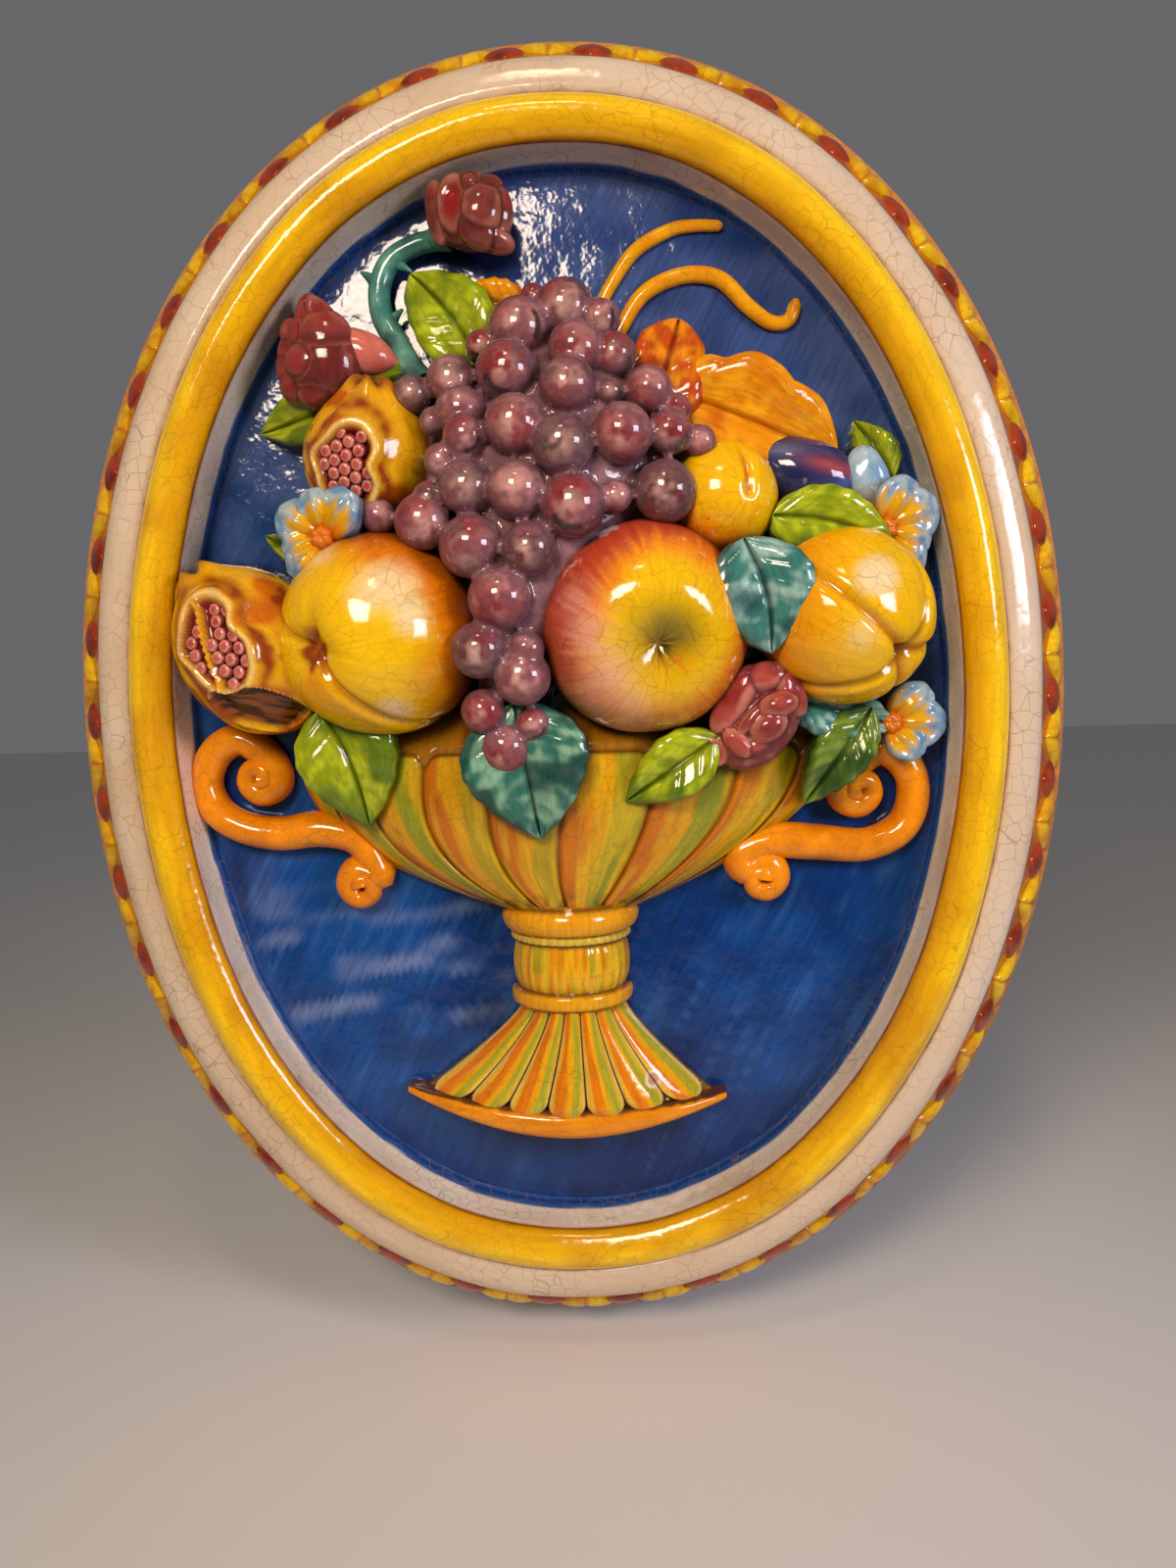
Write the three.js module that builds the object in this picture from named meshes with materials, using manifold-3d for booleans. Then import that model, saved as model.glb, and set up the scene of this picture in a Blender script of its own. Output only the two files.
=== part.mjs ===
// Oval wall plaque in glazed earthenware, pressed and modelled as one piece of clay: a moulded rim with a
// leaf-and-berry garland round its edge, and on the sunk field a footed, fluted bowl heaped with fruit.
//
// Millimetres. +X is to the viewer's right, +Z is up, and the plaque faces -Y; its back lies on the wall at y = 0.
// Relief places are given from the oval's centre as x, z and a height above the wall.
// The origin is on the flat ring of the back, at the top, where the plaque bears on the wall above its hook.
import * as THREE from 'three';
import { mergeVertices } from 'three/addons/utils/BufferGeometryUtils.js';
import Module from 'manifold-3d';

const wasm = await Module();
wasm.setup();

// ---------------------------------------------------------------- driving dimensions
const RIM_HALF_WIDTH = 183;      // oval of the rim's front outer edge
const RIM_HALF_HEIGHT = 240;
const OVAL_POWER = 2.07;         // 2 is a true ellipse; a little more fills the shoulders
const RIM_HEIGHT = 30;           // the front outer edge above the wall
const RIM_LIP = 1.2;             // the edge's pinched lip stands this far outside the oval
const ROLL_HEIGHT = 42;          // crest of the yellow roll
const FIELD_HEIGHT = 15;         // sunk blue field
const FIELD_INSET = 33;          // rim edge to the edge of the field
const BACK_SPREAD = 17.5;        // the side slopes out this far to the back
const BACK_EDGE = 3;             // thickness of the plaque's outermost edge
const OVAL_LIFT = 1.3;           // the oval's centre above the centre that the relief is laid out from
const BEARING_WIDTH = 30;        // flat ring on the back
const RECESS_DEPTH = 7;          // hollow of the back inside the ring
const ORIGIN_DROP = 9;           // hanging point below the top of the back
const HOOK_WIDTH = 18;           // notch in the ring for the wall hook
const HOOK_RISE = 10;
const RELIEF_ROOT = 9;           // every raised form is rooted this high, inside the clay
const OVAL_SEGMENTS = 52;

const GARLAND_UNITS = 42;        // one pair of leaves each
const LEAF_PAIR_REACH = 12.5;    // half the length of a pair of leaves along the edge
const LEAF_PAIR_RISE = 3.2;

const BOWL_TOP = 3;
const BOWL_BOTTOM = -79;
const BOWL_HALF_WIDTH = 111;
const BOWL_HEIGHT = 50;
const BOWL_LIP_DROP = 12;         // the plain band above the flutes bends back in under the fruit
const BOWL_FLUTES = { left: 5, right: 4 };   // they meet in a groove at the middle
const FLUTE_TOP = -14;
const STEM_AXIS = { x: -1.5, height: 14 };
const STEM_RADIUS = 22;
const FOOT_TOP = -118;
const FOOT_FLUTES = 7;

const CENTRE_BELOW_ORIGIN = RIM_HALF_HEIGHT + BACK_SPREAD + OVAL_LIFT - ORIGIN_DROP;

// ---------------------------------------------------------------- places and solids
/** A point of the relief from its place on the face and its height above the wall. */
const place = (x, z, height) => new THREE.Vector3(x, -height, z);

const mix = (from, to, share) => from + (to - from) * share;
const bell = (x, width) => Math.exp(-((x / width) ** 2));

/** The oval drawn `inset` inside the rim's outer edge, at an angle from +X. */
function ovalPoint(angle, inset, height) {
  const power = 2 / OVAL_POWER;
  const bend = (wave) => Math.sign(wave) * Math.abs(wave) ** power;
  const field = RIM_HALF_WIDTH - FIELD_INSET;
  const inner = Math.min(1, (RIM_HALF_WIDTH - inset) / field);
  const halfWidth = RIM_HALF_WIDTH - inset;
  const halfHeight = inset > FIELD_INSET ? (RIM_HALF_HEIGHT - FIELD_INSET) * inner : RIM_HALF_HEIGHT - inset;
  return place(halfWidth * bend(Math.cos(angle)), halfHeight * bend(Math.sin(angle)) + OVAL_LIFT, height);
}

/** Closed geometry to solid: seams are merged, empty triangles dropped and the faces turned out. */
function solid(geometry) {
  const bare = geometry.clone();
  bare.deleteAttribute('normal');
  bare.deleteAttribute('uv');
  const merged = mergeVertices(bare, 1e-3);
  const points = merged.attributes.position.array;
  const corner = (index) => new THREE.Vector3().fromArray(points, index * 3);
  const triangles = [];
  let volume = 0;
  for (let i = 0; i < merged.index.count; i += 3) {
    const [a, b, c] = [0, 1, 2].map((k) => merged.index.getX(i + k));
    if (a === b || b === c || c === a) continue;
    triangles.push([a, b, c]);
    volume += corner(a).dot(corner(b).cross(corner(c)));
  }
  const outward = volume > 0 ? triangles : triangles.map(([a, b, c]) => [a, c, b]);
  const mesh = new wasm.Mesh({
    numProp: 3,
    vertProperties: new Float32Array(points),
    triVerts: new Uint32Array(outward.flat()),
  });
  return new wasm.Manifold(mesh);
}

/** The quads of a grid of (columns + 1) by (rows + 1) points, as triangles. */
function gridTriangles(columns, rows, first, flip) {
  const triangles = [];
  for (let row = 0; row < rows; row += 1) {
    for (let column = 0; column < columns; column += 1) {
      const a = first + row * (columns + 1) + column;
      const quad = [a, a + 1, a + columns + 2, a + columns + 1];
      const [p, q, r, s] = flip ? quad.reverse() : quad;
      triangles.push(p, q, r, p, r, s);
    }
  }
  return triangles;
}

/** A raised form: its face is surface(u, v) => [x, z, height], and it goes straight back into the clay. */
function raised(columns, rows, surface, root = RELIEF_ROOT) {
  const front = [];
  const back = [];
  for (let row = 0; row <= rows; row += 1) {
    for (let column = 0; column <= columns; column += 1) {
      const [x, z, height] = surface(column / columns, row / rows);
      front.push(...place(x, z, height).toArray());
      back.push(...place(x, z, root).toArray());
    }
  }
  const count = (columns + 1) * (rows + 1);
  const indices = [...gridTriangles(columns, rows, 0, false), ...gridTriangles(columns, rows, count, true)];
  const wall = (a, b) => indices.push(b, a, a + count, b, a + count, b + count);
  for (let column = 0; column < columns; column += 1) {
    wall(column, column + 1);
    wall(rows * (columns + 1) + column + 1, rows * (columns + 1) + column);
  }
  for (let row = 0; row < rows; row += 1) {
    wall((row + 1) * (columns + 1), row * (columns + 1));
    wall(row * (columns + 1) + columns, (row + 1) * (columns + 1) + columns);
  }
  const geometry = new THREE.BufferGeometry();
  geometry.setAttribute('position', new THREE.Float32BufferAttribute([...front, ...back], 3));
  geometry.setIndex(indices);
  return solid(geometry);
}

/**
 * A ball that `shape(polar, around)` swells or dents, with its pole turned towards `pole` (x, z, height).
 * `size` holds its half sizes across the pole, across the other way, and along the pole.
 */
function ball({ at, size, pole = [0, 0, 1], around = 16, rings = 11, shape = () => 1 }) {
  const geometry = new THREE.SphereGeometry(1, around, rings);
  const positions = geometry.attributes.position;
  const point = new THREE.Vector3();
  for (let i = 0; i < positions.count; i += 1) {
    point.fromBufferAttribute(positions, i);
    const polar = Math.acos(THREE.MathUtils.clamp(point.y, -1, 1));
    point.multiplyScalar(shape(polar, Math.atan2(point.z, point.x)));
    positions.setXYZ(i, point.x * size[0], point.y * size[2], point.z * size[1]);
  }
  const turn = new THREE.Quaternion().setFromUnitVectors(
    new THREE.Vector3(0, 1, 0),
    place(...pole).normalize(),
  );
  geometry.applyQuaternion(turn);
  geometry.translate(...place(...at).toArray());
  return solid(geometry);
}

/** A round strand of clay along points [x, z], lying at one height, `deep` half its thickness from the wall. */
function strand(points, height, wide, deep, steps) {
  const path = new THREE.CatmullRomCurve3(points.map(([x, z]) => place(x, z, height)), false, 'centripetal');
  const section = new THREE.Shape();
  for (let side = 0; side < 5; side += 1) {
    const turn = (side / 5 + 0.05) * 2 * Math.PI;
    section[side ? 'lineTo' : 'moveTo'](wide * Math.cos(turn), wide * Math.sin(turn));
  }
  const geometry = new THREE.ExtrudeGeometry(section, { steps, extrudePath: path, bevelEnabled: false });
  geometry.translate(0, height, 0);
  geometry.scale(1, deep / wide, 1);
  geometry.translate(0, -height, 0);
  return solid(geometry);
}

// ---------------------------------------------------------------- oval body
/** Rim, field and back as one turned profile, spread from a circle to the oval. */
function ovalBody() {
  const bearingInset = BEARING_WIDTH - BACK_SPREAD;
  const profile = [
    [RIM_HALF_WIDTH, FIELD_HEIGHT],
    [FIELD_INSET, FIELD_HEIGHT],
    [31, 20],
    [30.3, 36],
    [26, ROLL_HEIGHT - 1],
    [18, ROLL_HEIGHT - 1],
    [12.9, 35],
    [3, 34],
    [-RIM_LIP, RIM_HEIGHT],
    [-BACK_SPREAD, BACK_EDGE],
    [-BACK_SPREAD, 0],
    [bearingInset, 0],
    [bearingInset, RECESS_DEPTH],
    [RIM_HALF_WIDTH, RECESS_DEPTH],
  ];
  const turned = profile.map(([inset, height]) => new THREE.Vector2(RIM_HALF_WIDTH - inset, height));
  const geometry = new THREE.LatheGeometry(turned, OVAL_SEGMENTS);
  const positions = geometry.attributes.position;
  for (let i = 0; i < positions.count; i += 1) {
    const radius = Math.hypot(positions.getX(i), positions.getZ(i));
    const angle = Math.atan2(positions.getZ(i), positions.getX(i));
    const spread = ovalPoint(angle, RIM_HALF_WIDTH - radius, positions.getY(i));
    positions.setXYZ(i, spread.x, spread.y, spread.z);
  }
  return solid(geometry);
}

/** Notch in the bearing ring: its flat roof rests on the wall hook. */
function hookNotch() {
  const roof = OVAL_LIFT + RIM_HALF_HEIGHT + BACK_SPREAD - BEARING_WIDTH + HOOK_RISE;
  const tall = HOOK_RISE + 6;
  const box = new THREE.BoxGeometry(HOOK_WIDTH, RECESS_DEPTH + 2, tall);
  box.translate(0, 1 - RECESS_DEPTH / 2, roof - tall / 2);
  return solid(box);
}

// ---------------------------------------------------------------- garland on the sloping edge
/** Evenly spaced stations along the middle of the sloping side, with the directions along and down it. */
function edgeStations(count) {
  const fine = 1440;
  const middle = -(RIM_LIP + BACK_SPREAD) / 2;
  const slopeMiddle = (RIM_HEIGHT + BACK_EDGE) / 2;
  const points = Array.from({ length: fine + 1 }, (_, i) => (
    ovalPoint((i / fine) * 2 * Math.PI, middle, slopeMiddle)));
  const along = [0];
  for (let i = 1; i <= fine; i += 1) along.push(along[i - 1] + points[i].distanceTo(points[i - 1]));
  const stations = [];
  let i = 1;
  for (let k = 0; k < count; k += 1) {
    while (along[i] < ((k + 0.5) / count) * along[fine]) i += 1;
    const tangent = points[i].clone().sub(points[i - 1]).normalize();
    const outward = tangent.clone().cross(new THREE.Vector3(0, 1, 0));
    if (outward.dot(points[i]) < 0) outward.negate();
    const down = outward.multiplyScalar(BACK_SPREAD - RIM_LIP)
      .add(new THREE.Vector3(0, RIM_HEIGHT - BACK_EDGE, 0)).normalize();
    const out = tangent.clone().cross(down);
    if (out.y > 0) out.negate();
    stations.push({ at: points[i].clone(), tangent, down, out });
  }
  return stations;
}

/** A low lump on the slope: an outline of [along, down] points rising to one peak. */
function edgeLump(station, outline, peak, rise) {
  const spot = ([along, down], lift) => station.at.clone()
    .addScaledVector(station.tangent, along)
    .addScaledVector(station.down, down)
    .addScaledVector(station.out, lift);
  const count = outline.length;
  const points = [...outline.map((corner) => spot(corner, -1)), spot(peak, rise), spot(peak, -2)];
  const indices = [];
  for (let i = 0; i < count; i += 1) {
    const next = (i + 1) % count;
    indices.push(i, next, count, next, i, count + 1);
  }
  const geometry = new THREE.BufferGeometry();
  geometry.setAttribute('position', new THREE.Float32BufferAttribute(points.flatMap((p) => p.toArray()), 3));
  geometry.setIndex(indices);
  return solid(geometry);
}

/** Pairs of pointed leaves that follow each other round the edge. */
function garland() {
  const reach = LEAF_PAIR_REACH;
  const leafPair = [[-reach, 10], [0, -11], [reach, 10], [0, 6]];
  return edgeStations(GARLAND_UNITS).map((station) => edgeLump(station, leafPair, [0, 0], LEAF_PAIR_RISE));
}

// ---------------------------------------------------------------- footed bowl
/** Height of a half-round form across its width, share 0 to 1. */
const halfRound = (share, top) => FIELD_HEIGHT + (top - FIELD_HEIGHT) * Math.sin(Math.PI * share) ** 0.62;

/** Place across the bowl: flutes narrow as they turn away to the sides, most of all near the stem. */
function acrossBowl(flute, climb) {
  const side = flute / (flute < 0 ? BOWL_FLUTES.left : BOWL_FLUTES.right);
  return 0.5 + 0.5 * mix(side, Math.sin((Math.PI / 2) * side), mix(1, 0.35, climb));
}

function bowl() {
  const flutes = BOWL_FLUTES.left + BOWL_FLUTES.right;
  return raised(flutes * 2, 6, (u, v) => {
    const z = mix(BOWL_BOTTOM, BOWL_TOP, v);
    const climb = Math.min(1, (z - BOWL_BOTTOM) / (BOWL_TOP - 5 - BOWL_BOTTOM));
    const left = -mix(28, BOWL_HALF_WIDTH, 1 - (1 - climb) ** 3);
    const right = mix(26, BOWL_HALF_WIDTH, 1 - (1 - climb) ** 2.3);
    const share = acrossBowl(u * flutes - BOWL_FLUTES.left, climb);
    const lip = BOWL_LIP_DROP * Math.max(0, (z - FLUTE_TOP) / (BOWL_TOP - FLUTE_TOP));
    const top = mix(36, BOWL_HEIGHT, Math.sin((Math.PI / 2) * Math.min(1, climb * 1.25))) - lip;
    const valley = Math.round(u * flutes * 2) % 2 === 0;
    const flute = valley && z < FLUTE_TOP + 6 ? -2.6 * Math.sin(Math.PI * Math.min(0.5, 0.2 + climb)) : 0;
    return [mix(left, right, share), z, Math.max(FIELD_HEIGHT - 1, halfRound(share, top) + flute)];
  });
}

/** Collar, thin ring, barrel and lower ring, turned about an upright axis. */
function stem() {
  const profile = [
    [0, -76], [24, -76], [27.5, -80], [27.5, -84], [24.5, -88], [24, -91], [STEM_RADIUS, -92],
    [STEM_RADIUS + 1.8, -101], [STEM_RADIUS, -110.5], [24.5, -112], [24.5, -117], [21, -120], [0, -120],
  ];
  const geometry = new THREE.LatheGeometry(profile.map(([r, z]) => new THREE.Vector2(r, z)), 16);
  geometry.rotateX(Math.PI / 2);
  geometry.translate(STEM_AXIS.x, -STEM_AXIS.height, 0);
  return solid(geometry);
}

/** Flutes that flare from the lower ring and end rounded on the base slab. */
function foot() {
  const columns = FOOT_FLUTES * 2;
  return raised(columns, 4, (u, v) => {
    const x = mix(mix(-22, 20, u), mix(-64, 55, u), v ** 1.25);
    const valley = Math.round(u * columns) % 2 === 0;
    const low = mix(-154, -157, u) - 5 * Math.sin(Math.PI * u) + (valley ? 4 : 0);
    const height = halfRound(u, mix(36, 40, v)) - (valley ? 2.4 : 0);
    return [x, mix(FOOT_TOP, low, v), Math.max(FIELD_HEIGHT - 1, height)];
  });
}

/** Base slab: a thin curved band under the flutes. */
function baseSlab() {
  return raised(10, 2, (u, v) => {
    const bow = Math.sin(Math.PI * u);
    const z = mix(-152, -157, u) - 3.5 * bow - v * (2.5 + 8.5 * bow);
    return [mix(-69, 60, u), z, halfRound(mix(0.06, 0.94, u), 42) - (v === 1 ? 2 : 0)];
  });
}

/** Scrolled handles, curled in at both ends. */
function handles() {
  const left = [
    [-123, -21], [-125, -26], [-119, -29], [-114, -22], [-118, -10], [-131, -6.5], [-144, -12], [-147, -25],
    [-137, -41], [-120, -47], [-99, -46], [-84, -52], [-76.5, -64], [-82, -76], [-92, -71], [-89, -64], [-86, -68],
  ];
  const right = [
    [117, -31], [121, -34], [115, -38], [108, -30], [112, -20], [124, -17], [135, -23], [137, -32],
    [133, -48], [118, -56], [95, -56.5], [75, -57], [62, -67], [71, -78], [82, -71], [77, -65], [75, -70],
  ];
  return [left, right].map((points) => strand(points, 18, 5.8, 8, 26));
}

// ---------------------------------------------------------------- fruit
/** Dimpled, softly ribbed fruit seen by its eye. */
const dimpled = (depth, width, ribs, ribDepth) => (polar, around) => (
  1 - depth * bell(polar, width) - ribDepth * Math.sin(polar) * (1 - Math.abs(Math.cos((ribs / 2) * around))));

function fruits() {
  const apple = ball({
    at: [30.5, 32, 46], size: [39.8, 39.8, 38], pole: [0.2, -0.22, 1], around: 15, rings: 8,
    shape: dimpled(0.24, 0.46, 5, 0.015),
  });
  const leftQuince = ball({
    at: [-69, 32, 42], size: [37, 37, 38], pole: [-0.52, -0.2, 0.85], around: 15, rings: 8,
    shape: dimpled(0.26, 0.46, 5, 0.07),
  });
  const rightQuince = ball({
    at: [106, 34, 40], size: [33, 31, 33], pole: [0.62, -0.45, 0.62], around: 15, rings: 7,
    shape: dimpled(0.24, 0.46, 5, 0.1),
  });
  const peach = ball({ at: [60.5, 79, 42], size: [20.5, 20.5, 20.5], around: 10, rings: 6 });
  const plum = ball({ at: [92, 88, 24], size: [12, 14, 22], pole: [1, -0.2, 0.1], around: 8, rings: 6 });
  return [apple, leftQuince, rightQuince, peach, plum];
}

/** Burst pomegranate: a globe with a crown at one end and a sunk opening full of seeds. */
function pomegranate({ at, radius, crown, opening }) {
  const globe = ball({ at, size: [radius, radius, radius * 1.05], pole: crown, around: 11, rings: 7 });
  const away = place(...crown).normalize().multiplyScalar(radius * 1.02);
  const tip = [at[0] + away.x, at[1] + away.z, at[2] - away.y];
  const collar = ball({ at: tip, size: [8, 8, 8], pole: crown, around: 5, rings: 3 });
  const sunk = ball({ ...opening, around: 8, rings: 5 });
  const seeds = ball({ at: at.map((v, i) => mix(v, opening.at[i], 0.42)), size: [radius * 0.86, radius * 0.86,
    radius * 0.8], around: 8, rings: 4 });
  return globe.subtract(sunk).add(collar).add(seeds);
}

function pomegranates() {
  const upper = pomegranate({
    at: [-72, 98, 34], radius: 24, crown: [-0.15, 1, 0.25],
    opening: { at: [-82, 93, 53], size: [12, 14, 10] },
  });
  const lower = pomegranate({
    at: [-119, 32, 36], radius: 26.5, crown: [-0.62, 0.8, 0.1],
    opening: { at: [-135, 31, 52], size: [11, 18, 11] },
  });
  return [upper, lower];
}

// Grapes: [x, z, radius]; the height of each comes from the heap that they lie on.
const GRAPES = [
  [4, 151, 10], [-13, 143, 10.5], [17, 146, 7], [8, 133, 9.5], [22, 131, 7.5], [-17, 125, 10.5],
  [-38, 124, 8.5], [5, 118, 9.5], [34, 117, 8], [-34, 111, 8.5], [-32, 101, 7.5], [-14, 104, 10],
  [3, 96, 10], [24, 100, 10], [41, 101, 7.5], [-53, 120, 6.5], [-32, 83, 9], [-14, 81, 9.5],
  [6, 75, 10.5], [39, 80, 10.5], [-49, 72, 9.5], [-31, 62, 10.5], [-10, 60, 9], [-21, 43, 10.5],
  [-29, 25, 9.5], [-14, 15, 9.5], [-29, 3, 7.5], [-22, -11, 9],
];

/** The line down the middle of the heap of grapes, which swings left below the apple. */
const heapSpine = (z) => -22 * bell(z + 2, 62);

/** Height of the heap under the grapes: a long back that falls away to the sides and to its two ends. */
function heapHeight(x, z) {
  const back = 68 - 32 * Math.max(0, (z - 96) / 56) ** 1.3 - 11 * Math.max(0, (30 - z) / 40) ** 1.5;
  const aside = ((x - heapSpine(z)) / 34) ** 2;
  return back - (9 * aside) / (1 + 0.25 * aside);
}

function grapes() {
  const berries = GRAPES.map(([x, z, radius]) => {
    const size = [radius, radius, radius];
    return ball({ at: [x, z, heapHeight(x, z)], size, around: 7, rings: 4 });
  });
  const heap = raised(5, 7, (u, v) => {
    const across = 2 * u - 1;
    const z = mix(-16, 156, v);
    const x = heapSpine(z) + across * (10 + 50 * bell(z - 98, 56));
    return [x, z, heapHeight(x, z) - 2 - 10 * Math.abs(across) ** 3];
  });
  return [...berries, heap];
}

// ---------------------------------------------------------------- leaves, roses, flowers and tendrils
/** A leaf from stalk to tip: arched along its length, its edges bent down, its midrib sunk. */
function leaf({ from, to, width, height, arch = 4, sway = 0, lobes = 0 }) {
  const [dx, dz] = [to[0] - from[0], to[1] - from[1]];
  const length = Math.hypot(dx, dz);
  return raised(4, 3, (u, v) => {
    const across = 2 * u - 1;
    const lobed = 1 - lobes * (1 - Math.abs(Math.cos(2.5 * Math.PI * v)));
    const half = (width / 2) * Math.sin(Math.PI * v ** 0.72) ** 0.85 * lobed;
    const offset = across * half + sway * Math.sin(Math.PI * v);
    const fold = 2.2 * (Math.abs(across) === 0.5 ? 1 : 0) - 1.8 * (Math.abs(across) === 1 ? 1 : 0);
    const x = from[0] + dx * v - (dz / length) * offset;
    const z = from[1] + dz * v + (dx / length) * offset;
    const top = mix(height[0], height[1], v) + arch * Math.sin(Math.PI * v) + fold * Math.sin(Math.PI * v);
    return [x, z, Math.max(FIELD_HEIGHT - 1, top)];
  });
}

function leaves() {
  return [
    { from: [-28, 132], to: [-55, 168], width: 30, height: [38, 24], sway: -2 },
    { from: [-10, 150], to: [-35, 160], width: 13, height: [30, 24] },
    { from: [-56, 130], to: [-117, 111], width: 26, height: [30, 20], sway: 3 },
    { from: [-98, 62], to: [-119, 74], width: 9, height: [26, 19] },
    { from: [82, 68], to: [122, 72], width: 22, height: [50, 38], sway: 6 },
    { from: [62, 62], to: [76, 20], width: 34, height: [66, 62], sway: 4 },
    { from: [-14, 4], to: [-10, -46], width: 54, height: [60, 53] },
    { from: [-92, 4], to: [-77, -42], width: 38, height: [47, 40], sway: 3 },
    { from: [56, -10], to: [22, -33], width: 22, height: [53, 49] },
    { from: [84, 4], to: [126, -10], width: 22, height: [44, 32] },
    { from: [112, -2], to: [95, -34], width: 18, height: [42, 36] },
    { from: [128, 88], to: [115, 110], width: 15, height: [24, 19] },
    { from: [30, 112], to: [46, 147], width: 36, height: [34, 22], lobes: 0.3 },
    { from: [34, 108], to: [96, 112], width: 40, height: [36, 24], lobes: 0.25, sway: 4 },
  ].map(leaf);
}

/** Half-open rose: a bud whose wrapped petals stand up in ridges that wind round it. */
function rose({ at, radius, facing, petals = 5 }) {
  return ball({
    at, size: [radius, radius, radius], pole: facing, around: 2 * petals, rings: 6,
    shape: (polar, around) => 0.93 + 0.13 * Math.sin(polar) * Math.cos(petals * around + 3 * polar)
      - 0.16 * bell(polar, 0.5),
  });
}

function roses() {
  return [
    rose({ at: [-31, 191, 30], radius: 16.5, facing: [0.2, 0.75, 0.65] }),
    rose({ at: [-94, 141, 31], radius: 17, facing: [-0.3, 0.7, 0.6] }),
    ball({ at: [-72, 140, 30], size: [7, 7, 15], pole: [1, -0.2, 0], around: 8, rings: 6 }),
    rose({ at: [75, 5, 56], radius: 17, facing: [0.25, 0.4, 1] }),
    rose({ at: [58, -12, 54], radius: 12, facing: [-0.4, -0.5, 0.9], petals: 4 }),
    strand([[-42, 182], [-56, 180], [-66, 172], [-68, 160], [-62, 145], [-54, 133], [-49, 124]], 22, 4, 9, 9),
  ];
}

/** Small open flower: five flat petals round a dipped middle. */
function flower({ at, reach, facing = [0, 0, 1] }) {
  return ball({
    at, size: [reach, reach, 7], pole: facing, around: 10, rings: 4,
    shape: (polar, around) => 0.78 + 0.22 * Math.sin(polar) * Math.cos(5 * around) - 0.3 * bell(polar, 0.5),
  });
}

function flowers() {
  return [
    flower({ at: [-91, 67, 54], reach: 17, facing: [-0.3, 0.3, 1] }),
    flower({ at: [127, 64, 36], reach: 23, facing: [0.3, 0, 1] }),
    ball({ at: [117, 85, 30], size: [8, 8, 13], pole: [-0.5, 1, 0], around: 8, rings: 6 }),
    flower({ at: [131, -4, 31], reach: 20, facing: [0.3, 0, 1] }),
  ];
}

function tendrils() {
  const upper = [[16, 153], [22, 166], [32, 178], [45, 184], [63, 184]];
  const lower = [[24, 146], [34, 162], [50, 167], [63, 165], [74, 154], [84, 148], [90, 150], [91, 157]];
  return [strand(upper, 16, 1.9, 4, 6), strand(lower, 16, 2.4, 4.5, 9)];
}

// ---------------------------------------------------------------- one piece of clay
/** Cut everything that would come through behind the roots of the relief. */
function frontOfRoot(form) {
  const deep = 200;
  const box = new THREE.BoxGeometry(2 * RIM_HALF_WIDTH, deep, 2 * RIM_HALF_HEIGHT);
  box.translate(0, -RELIEF_ROOT - deep / 2, 0);
  return form.intersect(solid(box));
}

const relief = [
  bowl(), stem(), foot(), baseSlab(), ...handles(), ...fruits(), ...pomegranates(), ...grapes(),
  ...leaves(), ...roses(), ...flowers(), ...tendrils(),
].reduce((whole, form) => whole.add(form));

const clay = [ovalBody(), ...garland()].reduce((whole, form) => whole.add(form))
  .add(frontOfRoot(relief))
  .subtract(hookNotch());

/** The outer skin alone: pockets shut in between grapes and petals are filled with clay. */
const skin = clay.decompose().sort((a, b) => b.volume() - a.volume())[0];

function meshGeometry(manifold) {
  const { vertProperties, triVerts } = manifold.getMesh();
  const geometry = new THREE.BufferGeometry();
  geometry.setAttribute('position', new THREE.BufferAttribute(new Float32Array(vertProperties), 3));
  geometry.setIndex(new THREE.BufferAttribute(new Uint32Array(triVerts), 1));
  geometry.computeVertexNormals();
  return geometry;
}

const plaque = new THREE.Mesh(
  meshGeometry(skin),
  new THREE.MeshStandardMaterial({ color: 0xe8b010, roughness: 0.15, metalness: 0 }),
);
plaque.name = 'plaque';
plaque.position.set(0, 0, -CENTRE_BELOW_ORIGIN);

const object = new THREE.Group();
object.add(plaque);

export default object;
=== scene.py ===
"""Looks of an oval wall plaque in painted, glazed earthenware.

The plaque is one piece of fired clay in high relief: a moulded rim, a sunk blue field, and on it a footed
bowl heaped with fruit. Places on the relief are in millimetres from the relief's centre, just below the
oval's own, as x (to the right), z (up) and height above the wall. Every mesh ends up in metres in the frame's
own coordinates.
"""

import logging
import math
from dataclasses import dataclass, field
from enum import Enum
from typing import Callable, ClassVar, Sequence

import bpy
import numpy as np
from mathutils import Matrix, Vector

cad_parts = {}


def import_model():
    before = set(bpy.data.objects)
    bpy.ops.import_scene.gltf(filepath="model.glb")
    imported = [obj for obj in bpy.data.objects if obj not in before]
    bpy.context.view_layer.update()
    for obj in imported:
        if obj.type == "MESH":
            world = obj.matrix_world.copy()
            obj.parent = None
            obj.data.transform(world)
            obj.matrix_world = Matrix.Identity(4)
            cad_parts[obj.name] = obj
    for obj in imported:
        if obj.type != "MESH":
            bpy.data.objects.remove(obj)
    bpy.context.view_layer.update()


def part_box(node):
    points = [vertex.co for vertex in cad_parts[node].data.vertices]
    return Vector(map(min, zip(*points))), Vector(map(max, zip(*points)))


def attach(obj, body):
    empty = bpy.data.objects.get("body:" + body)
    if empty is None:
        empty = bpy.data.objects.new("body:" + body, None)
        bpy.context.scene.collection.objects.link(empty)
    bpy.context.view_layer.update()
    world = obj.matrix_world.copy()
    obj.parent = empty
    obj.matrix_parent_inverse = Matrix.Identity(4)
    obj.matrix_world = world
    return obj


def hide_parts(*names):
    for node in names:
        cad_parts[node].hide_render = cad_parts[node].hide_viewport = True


log = logging.getLogger("plaque")
NODE = "plaque"
MM = 0.001
Array = np.ndarray
Colour = str | Array
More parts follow.
